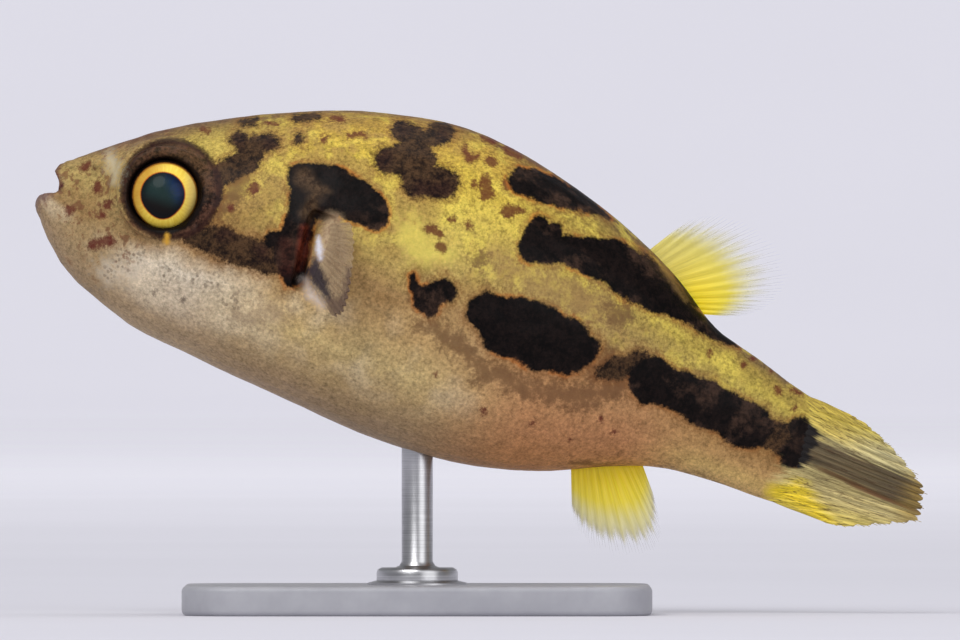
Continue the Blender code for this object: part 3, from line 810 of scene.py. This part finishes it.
# ---- Eyes ------------------------------------------------------------------------------------------
# Each eye is a glossy ball with a flat golden ring round a deep blue-black pupil. It is turned on its
# own axis, domed at the front like a lens, and set in its socket behind the rim.

EYE_RADIUS, EYE_DEPTH = 1.16, 0.94
PUPIL, RING = 0.69, 1.03
PUPIL_FORWARD = 0.07  # the pupil sits this far forward in its ring
PUPIL_POINT = 0.09  # pupil and ring draw down to a slight point
CORNEA_BULGE = 0.05


def eyeball(side, hand):
    """A ball flattened along its axis and domed in front, looking out of its socket."""
    axis = eye_axis(hand)
    bpy.ops.mesh.primitive_uv_sphere_add(segments=128, ring_count=96, radius=1)
    ball = bpy.context.object
    for vertex in ball.data.vertices:
        out = max(vertex.co.z, 0)
        vertex.co.xy *= EYE_RADIUS
        vertex.co.z *= EYE_DEPTH + CORNEA_BULGE * out ** 4
    turn = Matrix.Identity(4)
    right = Vector((0, 0, 1)).cross(axis).normalized()
    turn.col[0].xyz, turn.col[1].xyz, turn.col[2].xyz = right, axis.cross(right), axis
    ball.data.transform(Matrix.Translation(eye_middle(side)) @ turn)
    ball.name = "eyeball_" + side
    settle(ball)
    return ball


def eye_finish(side):
    """A pupil with a cool sheen painted on its upper rear, in a gold ring that is duller in front."""
    material, point = new_finish("eye_gloss_" + side)
    x, _, z = point.vector("SUBTRACT", point, eye_middle(side)).parts()
    radius = (x * x + z * z) ** 0.5
    pupil_x = x + PUPIL_FORWARD
    pupil_radius = (pupil_x * pupil_x + z * z) ** 0.5
    downward = (pupil_x * math.sin(PITCH) - z * math.cos(PITCH)) / (pupil_radius + 0.01)
    point_below = downward.larger(0.0) ** 6 * PUPIL_POINT
    pupil, ring = pupil_radius - point_below, radius - point_below
    fibres = point.join(x.work_out("ARCTAN2", x, z) * 5.0, radius * 1.2).noise(2.2, 3.0, 0.6)
    fray = fibres - 0.5

    gold = fibres.rise(0.3, 0.72).blend(tone(232, 196, 70), tone(246, 218, 92))
    gold = daub(gold, x + z * 0.3, (0.5, 1.0), 0.6, tone(206, 178, 120))
    gold = daub(gold, x - z * 0.1, (-0.10, -0.85), 0.72, tone(176, 118, 44))
    gold = daub(gold, pupil, (PUPIL + 0.06, PUPIL + 0.01), 1.0, tone(186, 92, 26))
    gold = daub(gold, ring, (RING - 0.06, RING - 0.01), 1.0, tone(160, 104, 36))
    # The pupil's colour carries a painted sheen: teal turning blue towards its upper rear, near black below
    # and towards its edge.
    painted_sheen = (x * 0.8 + z * 0.7 + fray * 0.6).rise(0.0, 0.75).blend(tone(26, 44, 42), tone(8, 36, 84))
    painted_sheen = daub(painted_sheen, z, (0.05, -0.50), 1.0, tone(16, 11, 9))
    painted_sheen = daub(painted_sheen, pupil_radius, (0.42, PUPIL), 0.75, tone(5, 6, 9))
    colour = (pupil + fray * 0.03).rise(PUPIL - 0.01, PUPIL + 0.03).blend(painted_sheen, gold)
    colour = daub(colour, ring + fray * 0.05, (RING - 0.02, RING + 0.03), 1.0, tone(22, 13, 12))
    shader = point.node("ShaderNodeBsdfPrincipled", {
        "Base Color": colour, "Roughness": 0.4, "Specular IOR Level": 0.08, "Coat Weight": 0.16,
        "Coat Roughness": 0.03, "Coat IOR": 1.33, "Normal": fibres.relief(0.4, 0.00002),
    })
    return surface(material, point, shader)


for side, hand in HANDS.items():
    ball = eyeball(side, hand)
    ball.data.materials.append(eye_finish(side))
    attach(ball, "root")
    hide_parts("eye_" + side)

# ---- Fins ------------------------------------------------------------------------------------------
# A fin is a clear web stretched over soft rays, which fork twice on their way to the ragged edge.
# Each web is a pleated grid with a little thickness, and each ray is a fine tapered tube joined to it.

# Each fin's root and its tips from front to back, as (along, level), or as (out, level) for a pectoral.
DORSAL_ROOT = [(19.10, 4.94), (21.12, 3.72)]
DORSAL_TIPS = [
    (19.95, 6.20), (20.9, 6.62), (22.1, 6.50), (23.1, 5.95), (23.5, 5.15), (23.2, 4.30), (22.5, 3.75),
]
ANAL_ROOT = [(18.95, -2.62), (20.95, -1.80)]
ANAL_TIPS = [
    (19.45, -4.05), (20.1, -4.55), (20.9, -4.70), (21.7, -4.55), (22.3, -4.10), (22.2, -3.40),
    (21.8, -2.70),
]
PECTORAL_ROOT = [(0.0, 2.38), (0.0, 0.48)]
PECTORAL_TIPS = [
    (0.60, 2.66), (1.20, 2.15), (1.65, 1.55), (2.02, 0.95), (2.26, 0.38), (2.22, -0.12), (1.72, -0.38),
]
PECTORAL_AT = (9.38, 3.80)  # where a pectoral fin is hinged: along, and out from the fish's middle
PECTORAL_FLARE = math.radians(60)
ROOT_DEPTH = 0.45  # how far the roots go into the flesh
WEB_THICK, TAIL_THICKEST = 0.05, 2.2
WEB_ROWS = 30
PLEAT = 0.022
MEDIAN_RAYS, PECTORAL_RAYS = 12, 14
RAY_SIDES = 6
RAY_TAPER = 0.72  # the share of a ray's thickness that is lost on its way out
FORKED_RAY = (1.0, 0.85, 0.75)  # and what each fork leaves of it
FORKS = (0.42, 0.70)  # shares of the way out at which a ray forks
FORK_SPREAD = 0.5  # how far the twigs part, as a share of the space between rays
PATH_SHARES = [step / 10 for step in range(11)]
# A fleshy fin's rays come out of it past this share of the way, grow over this one, and start this thick.
RAY_EMERGES, RAY_GROWS, RAY_LEAST = 0.14, 0.22, 0.15
FIN_SWAY = 0.10
RAGGEDNESS = 0.02
SHINE_THROUGH = 0.35


def smooth_through(points, share):
    """The point at a share of the way along a smooth curve through 2-D points."""
    last = len(points) - 1
    i = min(int(share * last), last - 1)
    t = share * last - i
    rest = 1 - t
    before, start, end, after = (Vector(points[min(max(j, 0), last)]) for j in range(i - 1, i + 3))
    leave = end - start if i == 0 else (end - before) / 2
    arrive = end - start if i == last - 1 else (after - start) / 2
    from_start = (1 + 2 * t) * rest ** 2 * start + t * rest ** 2 * leave
    return from_start + t * t * (3 - 2 * t) * end - t * t * rest * arrive


def fan(root, tips):
    """Gives a fin's point for a share across it and a share of the way out."""
    start, end = Vector(root[0]), Vector(root[1])
    inward = Vector(((end - start).y, (start - end).x)).normalized()
    if inward.dot(Vector(tips[len(tips) // 2]) - start) > 0:
        inward = -inward

    def at(across, out):
        foot = start.lerp(end, across) + inward * ROOT_DEPTH
        return foot.lerp(smooth_through(tips, across), out)

    return at


def add_tube(bm, uv, path, radii, shares):
    """Adds a closed round tube along a path, with the shares out along the fin as its UV."""
    rings = []
    for i, point in enumerate(path):
        ahead = (path[min(i + 1, len(path) - 1)] - path[max(i - 1, 0)]).normalized()
        side = ahead.cross(Vector((0, 1, 0)) if abs(ahead.y) < 0.9 else Vector((1, 0, 0))).normalized()
        over = ahead.cross(side)
        ring = []
        for k in range(RAY_SIDES):
            angle = 2 * math.pi * k / RAY_SIDES
            ring.append(bm.verts.new(point + (side * math.cos(angle) + over * math.sin(angle)) * radii[i]))
        rings.append(ring)
    faces = []
    for (near, far), (across, here), (_, beyond) in zip(zip(rings, rings[1:]), shares, shares[1:]):
        for k in range(RAY_SIDES):
            j = (k + 1) % RAY_SIDES
            face = bm.faces.new((near[k], near[j], far[j], far[k]))
            for loop, out in zip(face.loops, (here, here, beyond, beyond)):
                loop[uv].uv = (across, out)
            faces.append(face)
    for ring, share in ((rings[0][::-1], shares[0]), (rings[-1], shares[-1])):
        face = bm.faces.new(ring)
        for loop in face.loops:
            loop[uv].uv = share
        faces.append(face)
    return faces


def twig(foot, bend, end):
    """A branch from its foot to an end, bending to one side, as (share across, share out)."""
    across, out = foot
    return [(across + bend * share ** 0.8, out + (end - out) * share) for share in PATH_SHARES]


def ray_paths(count, seed):
    """Each ray's stem and branches as such paths, with how often they have forked."""
    paths = []
    for i in range(count):
        middle = (i + 0.5) / count
        wobble = 0.10 / count * math.sin(7.3 * i + seed)
        first = FORKS[0] + 0.05 * math.sin(5.1 * i + seed)
        second = FORKS[1] + 0.04 * math.sin(3.7 * i + seed)
        reach = 1.0 + 0.02 * math.sin(9.1 * i + seed)
        stem = [(middle + wobble * share, first * share) for share in PATH_SHARES]
        paths.append((stem, 0))
        for a in (-1, 1):
            branch = twig(stem[-1], a * FORK_SPREAD / count / 2, second)
            paths.append((branch, 1))
            for b in (-1, 1):
                end = reach + 0.025 * math.sin(13 * i + 4 * a + 9 * b + seed)
                paths.append((twig(branch[-1], b * FORK_SPREAD / count / 4, end), 2))
    return paths


def make_fin(name, at, place, rays, columns, ray_radius, seed=0, edge_dip=0.05, pleat=PLEAT, flesh=None):
    """A pleated web and its rays in one piece. at() lays the fin out flat, and place() stands it up."""
    thick = TAIL_THICKEST if flesh else WEB_THICK

    def standing(across, out, reach, proud=0.0):
        """A point of the fin, drawn in to a reach, and standing proud of the web's middle."""
        flat = at(across, reach)
        wave = pleat * math.cos(2 * math.pi * rays * across) * out ** 0.7
        sway = FIN_SWAY * math.sin(math.pi * across * 1.3 + seed) * min(out, 1) ** 2
        return place(flat.x, flat.y, proud + wave + sway)

    bpy.ops.mesh.primitive_grid_add(x_subdivisions=columns, y_subdivisions=WEB_ROWS, size=1, calc_uvs=True)
    fin = bpy.context.object
    shares = [(vertex.co.x + 0.5, vertex.co.y + 0.5) for vertex in fin.data.vertices]
    for vertex, (across, out) in zip(fin.data.vertices, shares):
        dip = edge_dip * (0.5 + 0.5 * math.cos(2 * math.pi * rays * across))
        ragged = RAGGEDNESS * noise.noise(Vector((across * 40, seed, 0)))
        vertex.co = standing(across, out, out * (1 - dip - ragged))
    wall = fin.modifiers.new("Wall", "SOLIDIFY")
    wall.thickness = thick
    wall.offset = 0
    if flesh:
        wall.vertex_group = fin.vertex_groups.new(name="wall").name
        for vertex, (across, out) in zip(fin.data.vertices, shares):
            fin.vertex_groups[0].add([vertex.index], flesh(across, out) * 2 / thick, "REPLACE")
    select_only(fin)
    bpy.ops.object.modifier_apply(modifier=wall.name)

    # A thin web has its rays in its middle. A fleshy fin has them on each face, coming out of the root.
    bm = bmesh.new()
    bm.from_mesh(fin.data)
    uv = bm.loops.layers.uv.verify()
    for path, forks in ray_paths(rays, seed):
        for face_of_fin in (-1, 1) if flesh else (0,):
            points, radii = [], []
            for across, out in path:
                across = min(max(across, 0.0), 1.0)
                proud = face_of_fin * flesh(across, out) if flesh else 0
                points.append(standing(across, out, out, proud))
                emerged = min(max((out - RAY_EMERGES) / RAY_GROWS, RAY_LEAST), 1) if flesh else 1
                radii.append(ray_radius * emerged * (1 - RAY_TAPER * min(out, 1)) * FORKED_RAY[forks])
            for face in add_tube(bm, uv, points, radii, path):
                face.material_index = 1
    bm.normal_update()
    bmesh.ops.recalc_face_normals(bm, faces=bm.faces)
    bm.to_mesh(fin.data)
    bm.free()
    fin.name = name
    settle(fin)
    return fin


def upright(along, level, side):
    return Vector((along, side, level))


def flank(hand):
    def place(out, level, side):
        across, ahead = math.sin(PECTORAL_FLARE), math.cos(PECTORAL_FLARE)
        x = PECTORAL_AT[0] + out * ahead - side * across
        y = PECTORAL_AT[1] + out * across + side * ahead
        return Vector((x, y * hand, level))

    return place


def fin_finish(name, colours, fade, streaky, pale, ray_alpha=None):
    """Web or ray material. Colours run from root to tip, and fade says where it thins out and to what."""
    material, point = new_finish(name)
    across, out, _ = point.node("ShaderNodeUVMap", settings={"uv_map": "UVMap"}).parts()
    lines = point.join(across * MEDIAN_RAYS * 5.0, out * 1.6).noise(1.0, 3.0, 0.6)
    streak = lines - 0.5
    colour = (out + streak * 0.25).ramp(*colours)
    colour = daub(colour, across, (0.8, 0.1), pale, tone(224, 216, 150))
    colour = (streak * 0.7 + 1.0).times(colour)
    start, end, least = fade
    alpha = (out + streak * streaky).rise(end, start) * (1 - least) + least
    if ray_alpha:
        alpha = (alpha * ray_alpha).smaller(1.0) * out.rise(1.08, 0.80)
    lit_from_front = point.node("ShaderNodeBsdfPrincipled", {
        "Base Color": colour, "Roughness": 0.42, "Alpha": alpha, "Normal": lines.relief(0.5, 0.00002),
        "Coat Weight": 0.15,
    })
    clear = point.node("ShaderNodeBsdfTransparent")
    lit_through = point.node("ShaderNodeBsdfTranslucent", {"Color": colour})
    lit_through = point.node("ShaderNodeMixShader", {0: alpha, 1: clear, 2: lit_through})
    both = point.node("ShaderNodeMixShader", {0: SHINE_THROUGH, 1: lit_from_front, 2: lit_through})
    return surface(material, point, both)


YELLOW_WEB = [
    (0.0, 252, 230, 20), (0.25, 255, 234, 22), (0.50, 250, 234, 72), (0.68, 236, 228, 160),
    (1.0, 214, 212, 208),
]
YELLOW_RAY = [(0.0, 252, 226, 22), (0.38, 250, 232, 74), (0.58, 222, 218, 180), (1.0, 190, 190, 198)]


def pectoral_finish(name, web):
    """A thin beige web that lets the flank show through, with a dark lower and trailing edge."""
    material, point = new_finish(name)
    along, _, level = point.parts()
    side = point.join(along, level)
    across, out, _ = point.node("ShaderNodeUVMap", settings={"uv_map": "UVMap"}).parts()
    grain = point.noise(7.0, 3.0, 0.7)
    fray = (grain - 0.5) * 0.5
    folds = point.join(across * 28.0, out * 1.4).noise(1.0, 2.0)
    colour = (grain * 0.5 + folds * 0.5).rise(0.3, 0.7).blend(tone(152, 126, 98), tone(188, 164, 128))
    if not web:
        colour = daub(colour, out, (0.1, 0.5), 0.40, tone(112, 88, 70))
    lower_edge = [(10.22, 1.16, 0.04), (10.42, 0.50, 0.13), (10.30, -0.14, 0.20), (9.96, 0.10, 0.12)]
    smudge = (strokes(side, lower_edge) + fray).rise(0.22, -0.10)
    colour = (smudge * 0.85).blend(colour, tone(88, 68, 60))
    # The painted highlight and painted shade at the fin's root, as on the skin beside it.
    colour = fin_root(side, colour, fray)
    shown = smudge.larger(across.rise(0.55, 0.95) * out.rise(1.1, 0.5)).larger(out.rise(0.55, 0.1))
    membrane = point.node("ShaderNodeBsdfPrincipled", {
        "Base Color": colour, "Roughness": 0.5, "Alpha": shown * 0.50 + (0.40 if web else 0.34),
        "Normal": (folds + grain).relief(0.3, 0.00002), "Specular IOR Level": 0.15,
    })
    return surface(material, point, membrane)


dorsal = make_fin("fin_dorsal_rays", fan(DORSAL_ROOT, DORSAL_TIPS), upright, MEDIAN_RAYS, 240, 0.030)
dorsal.data.materials.append(fin_finish("dorsal_web", YELLOW_WEB, (0.36, 0.92, 0.0), 0.3, 0.6))
dorsal.data.materials.append(fin_finish("dorsal_rays", YELLOW_RAY, (0.40, 0.90, 0.30), 0.5, 0.6, 0.6))
anal = make_fin("fin_anal_rays", fan(ANAL_ROOT, ANAL_TIPS), upright, MEDIAN_RAYS, 240, 0.030, seed=2)
anal.data.materials.append(fin_finish("anal_web", YELLOW_WEB, (0.72, 0.92, 0.0), 0.2, 0.0))
anal.data.materials.append(fin_finish("anal_rays", YELLOW_RAY, (0.62, 0.92, 0.24), 0.2, 0.0, 0.7))
fins = {"fin_dorsal": dorsal, "fin_anal": anal}
for side, hand in HANDS.items():
    shape = fan(PECTORAL_ROOT, PECTORAL_TIPS)
    fin = make_fin(
        "fin_pectoral_rays_" + side, shape, flank(hand), PECTORAL_RAYS, 224, 0.022, seed=5, pleat=0.010,
    )
    fin.data.materials.append(pectoral_finish("pectoral_web_" + side, True))
    fin.data.materials.append(pectoral_finish("pectoral_rays_" + side, False))
    fins["fin_pectoral_" + side] = fin
for node, fin in fins.items():
    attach(fin, "root")
    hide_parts(node)

# ---- Tail fin --------------------------------------------------------------------------------------
# The tail fin is half folded, so its rays lie close together and end along a ragged edge. Its root is
# fleshy, and the rays run out of the skin on both sides of it.

TAIL_ROOT = [(25.2, 2.02), (25.2, -1.46)]
TAIL_TIPS = [
    (26.6, 1.90), (27.4, 1.76), (28.1, 1.48), (28.75, 1.15), (29.3, 0.82), (29.75, 0.47), (29.86, 0.20),
    (29.92, -0.10), (29.97, -0.40), (29.90, -0.66), (29.3, -0.93), (28.6, -1.22), (27.9, -1.50),
    (27.2, -1.62),
]
TAIL_RAYS = 17
TAIL_THINNEST = 0.035
# Place along the fish, and how far each face of the fin stands from its middle there.
TAIL_FLESH = [
    (24.4, 0.80), (25.2, 0.70), (25.6, 0.58), (25.9, 0.47), (26.5, 0.23), (27.5, 0.10), (30.2, 0.04),
]
tail_shape = fan(TAIL_ROOT, TAIL_TIPS)


def tail_flesh(across, out):
    """Half the fin's thickness at a point, which rounds off towards its upper and lower edges."""
    roundness = math.sqrt(max(1 - (2 * across - 1) ** 2 * 0.96, 0))
    half = smooth_value(TAIL_FLESH, tail_shape(across, out).x)
    return max(half * roundness, TAIL_THINNEST)


def tail_finish(web):
    """The web and the rays share their streaks. The web is a little clear towards its edge."""
    material, point = new_finish("tail_web" if web else "tail_rays")
    along, across, level = point.parts()
    colour, lines, fine = tail_colours(point, along, across, level)
    alpha = (lines * 0.5 + fine * 0.5 + 0.40 + along.rise(29.0, 26.0) * 0.5).smaller(1.0)
    shader = point.node("ShaderNodeBsdfPrincipled", {
        "Base Color": colour, "Roughness": 0.5, "Alpha": alpha if web else 1.0,
        "Normal": (lines + fine * 0.5).relief(0.7, 0.00004), "Specular IOR Level": 0.2,
    })
    return surface(material, point, shader)


tail = make_fin(
    "fin_caudal_rays", tail_shape, upright, TAIL_RAYS, 306, 0.040, seed=1, edge_dip=0.03, pleat=0.03,
    flesh=tail_flesh,
)
tail.data.materials.append(tail_finish(True))
tail.data.materials.append(tail_finish(False))
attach(tail, "root")
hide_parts("fin_caudal")

# ---- Stand -----------------------------------------------------------------------------------------
# The stand is a painted steel plate with rounded corners, and a turned steel rod let into it that goes
# up into the belly. Plate and rod are shaped to the frame's sizes, with softer edges.

PLATE_CORNER, PLATE_EDGE = 0.0018, 0.00018
ROD_RADIUS = 0.0005
SEAM = 0.000002  # points nearer than this are made one
COLLAR_HEIGHT = 0.00085  # top of the rod's foot, above the rod's lower end


def round_edges(obj, edges, radius, segments):
    pick(obj.data, edges=edges)
    with editing(obj, "EDGE"):
        bpy.ops.mesh.bevel(offset=radius, segments=segments)


def stand_base():
    low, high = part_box("stand_base")
    size = high - low
    bpy.ops.mesh.primitive_cube_add(size=1, location=(low + high) / 2, scale=size)
    plate = bpy.context.object
    bpy.ops.object.transform_apply(location=True, rotation=True, scale=True)

    def drop(edge):
        start, end = (plate.data.vertices[i].co.z for i in edge.vertices)
        return abs(start - end)

    round_edges(plate, [edge for edge in plate.data.edges if drop(edge) > size.z / 2], PLATE_CORNER, 16)
    round_edges(plate, [edge for edge in plate.data.edges if drop(edge) < size.z / 2], PLATE_EDGE, 5)
    plate.name = "stand_plate"
    bpy.ops.object.shade_smooth_by_angle(angle=math.radians(35))
    return plate


def turned(name, profile, steps, smooth_angle):
    """A solid or shell of revolution about the stand's upright, from a profile of (radius, height)."""
    mesh = bpy.data.meshes.new(name)
    mesh.from_pydata([(r, 0, z) for r, z in profile], [(i, i + 1) for i in range(len(profile) - 1)], [])
    obj = bpy.data.objects.new(name, mesh)
    bpy.context.scene.collection.objects.link(obj)
    with editing(obj):
        bpy.ops.mesh.spin(steps=steps, angle=2 * math.pi, center=(0, 0, 0), axis=(0, 0, 1))
        bpy.ops.mesh.select_all(action="SELECT")
        bpy.ops.mesh.remove_doubles(threshold=SEAM)
        bpy.ops.mesh.normals_make_consistent(inside=False)
    bpy.ops.object.shade_smooth_by_angle(angle=math.radians(smooth_angle))
    return obj


def stand_rod():
    low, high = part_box("stand_rod")
    foot, radius = (high.x - low.x) / 2, ROD_RADIUS
    plate_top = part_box("stand_base")[1].z
    collar = low.z + COLLAR_HEIGHT
    profile = [
        (0, plate_top - 0.0001), (foot + 0.0003, plate_top - 0.0001), (foot + 0.0003, plate_top + 0.00006),
        (foot, plate_top + 0.00014), (foot, collar - 0.00015), (foot - 0.00004, collar - 0.00006),
        (foot - 0.00015, collar), (radius + 0.00022, collar), (radius + 0.00008, collar + 0.00006),
        (radius, collar + 0.0002), (radius, high.z), (0, high.z),
    ]
    return turned("stand_post", profile, 72, 30)


def paint_finish():
    """Satin grey enamel with a faint orange peel."""
    material, point = new_finish("stand_enamel")
    peel = point.noise(2.6, 2.0)
    dust = point.noise(0.5, 4.0, 0.6)
    colour = dust.rise(0.3, 0.75).blend(tone(150, 150, 156), tone(164, 164, 169))
    shader = point.node("ShaderNodeBsdfPrincipled", {
        "Base Color": colour, "Roughness": dust * 0.15 + 0.34, "Normal": peel.relief(0.25, 0.00002),
    })
    return surface(material, point, shader)


def steel_finish():
    """Bright steel with fine rings from turning."""
    material, point = new_finish("turned_steel")
    stains = point.noise(1.2, 3.0)
    place = point.node("ShaderNodeTexCoord", out=3)
    turning = place.vector("MULTIPLY", place, (300, 300, 26000)).noise(1.0, 2.0)
    colour = (turning * 0.6 + stains * 0.4).rise(0.25, 0.75).blend(tone(150, 150, 152), tone(196, 196, 198))
    shader = point.node("ShaderNodeBsdfPrincipled", {
        "Base Color": colour, "Metallic": 1.0, "Roughness": turning * 0.2 + 0.22,
        "Normal": turning.relief(0.3, 0.00001),
    })
    return surface(material, point, shader)


plate, post = stand_base(), stand_rod()
plate.data.materials.append(paint_finish())
post.data.materials.append(steel_finish())
for piece, node, slot in ((plate, "stand_base", "stand_paint"), (post, "stand_rod", "stand_steel")):
    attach(piece, "root")
    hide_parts(node)

# ---- Floor, light and camera -----------------------------------------------------------------------
# The model stands in the middle of a pale round floor that curves up into a wall, under broad soft
# lamps. The camera is a long lens level with the fish, square to its left flank.

FLOOR_FLAT, WALL_CURVE, WALL_TOP = 1.5, 0.3, 0.32
CURVE_STEPS = 24


def studio_cove():
    """The floor and wall. They glow a little, most near the wall, so that shadows stay soft."""
    profile = [(0, 0), (0.02, 0), (0.1, 0), (0.4, 0)]
    for i in range(CURVE_STEPS + 1):
        angle = math.pi / 2 * i / CURVE_STEPS
        profile.append((FLOOR_FLAT + WALL_CURVE * math.sin(angle), WALL_CURVE * (1 - math.cos(angle))))
    profile.append((FLOOR_FLAT + WALL_CURVE, WALL_TOP))
    cove = turned("studio_cove", profile, 96, 60)
    with editing(cove):
        bpy.ops.mesh.flip_normals()
    material, point = new_finish("pale_cove")
    place = point.node("ShaderNodeTexCoord", out=3)
    out = place.vector("LENGTH", place, out=1)
    fibre = place.noise(20.0, 3.0)
    colour = fibre.rise(0.3, 0.7).blend(tone(186, 185, 192), tone(189, 188, 195))
    glow = out.rise(0.0, 0.7).blend(tone(108, 107, 112), tone(184, 183, 190))
    shader = point.node("ShaderNodeBsdfPrincipled", {
        "Base Color": colour, "Roughness": 0.9, "Specular IOR Level": 0.1,
        "Emission Color": glow, "Emission Strength": 1.0,
    })
    material.cycles.emission_sampling = "NONE"
    cove.data.materials.append(surface(material, point, shader))


def lamp(name, at, aim, size, watts, colour=(1, 1, 1)):
    data = bpy.data.lights.new(name, "AREA")
    data.shape, data.size, data.energy, data.color = "DISK", size, watts, colour
    obj = bpy.data.objects.new(name, data)
    bpy.context.scene.collection.objects.link(obj)
    obj.location = at
    obj.rotation_euler = (Vector(aim) - Vector(at)).to_track_quat("-Z", "Y").to_euler()


studio_cove()
FISH_AT = (0.002, 0, 0.0100)
lamp("key", (-0.25, -0.50, 0.55), FISH_AT, 0.50, 3.6)
lamp("fill", (0.45, -0.60, 0.25), FISH_AT, 0.60, 1.7)
lamp("top", (0.05, 0.10, 0.75), FISH_AT, 0.60, 1.8)
world = bpy.data.worlds.new("studio")
bpy.context.scene.world = world
world.use_nodes = True
background = world.node_tree.nodes["Background"].inputs
background["Color"].default_value = (0.93, 0.94, 1.0, 1)
background["Strength"].default_value = 0.36
bpy.context.scene.view_settings.view_transform = "Standard"

PICTURE_WIDTH = 0.03072  # how much of the fish's plane the picture takes in
CAMERA_AWAY = 0.7
CAMERA_AIM = Vector((0.002008, 0, 0.00942))
SENSOR = 36.0
camera_data = bpy.data.cameras.new("camera")
camera_data.sensor_width = SENSOR
camera_data.lens = SENSOR * CAMERA_AWAY / PICTURE_WIDTH
camera_data.clip_start, camera_data.clip_end = 0.01, 10
camera = bpy.data.objects.new("camera", camera_data)
bpy.context.scene.collection.objects.link(camera)
camera.location = CAMERA_AIM + Vector((0, -CAMERA_AWAY, 0))
camera.rotation_euler = (math.radians(90), 0, 0)
bpy.context.scene.camera = camera
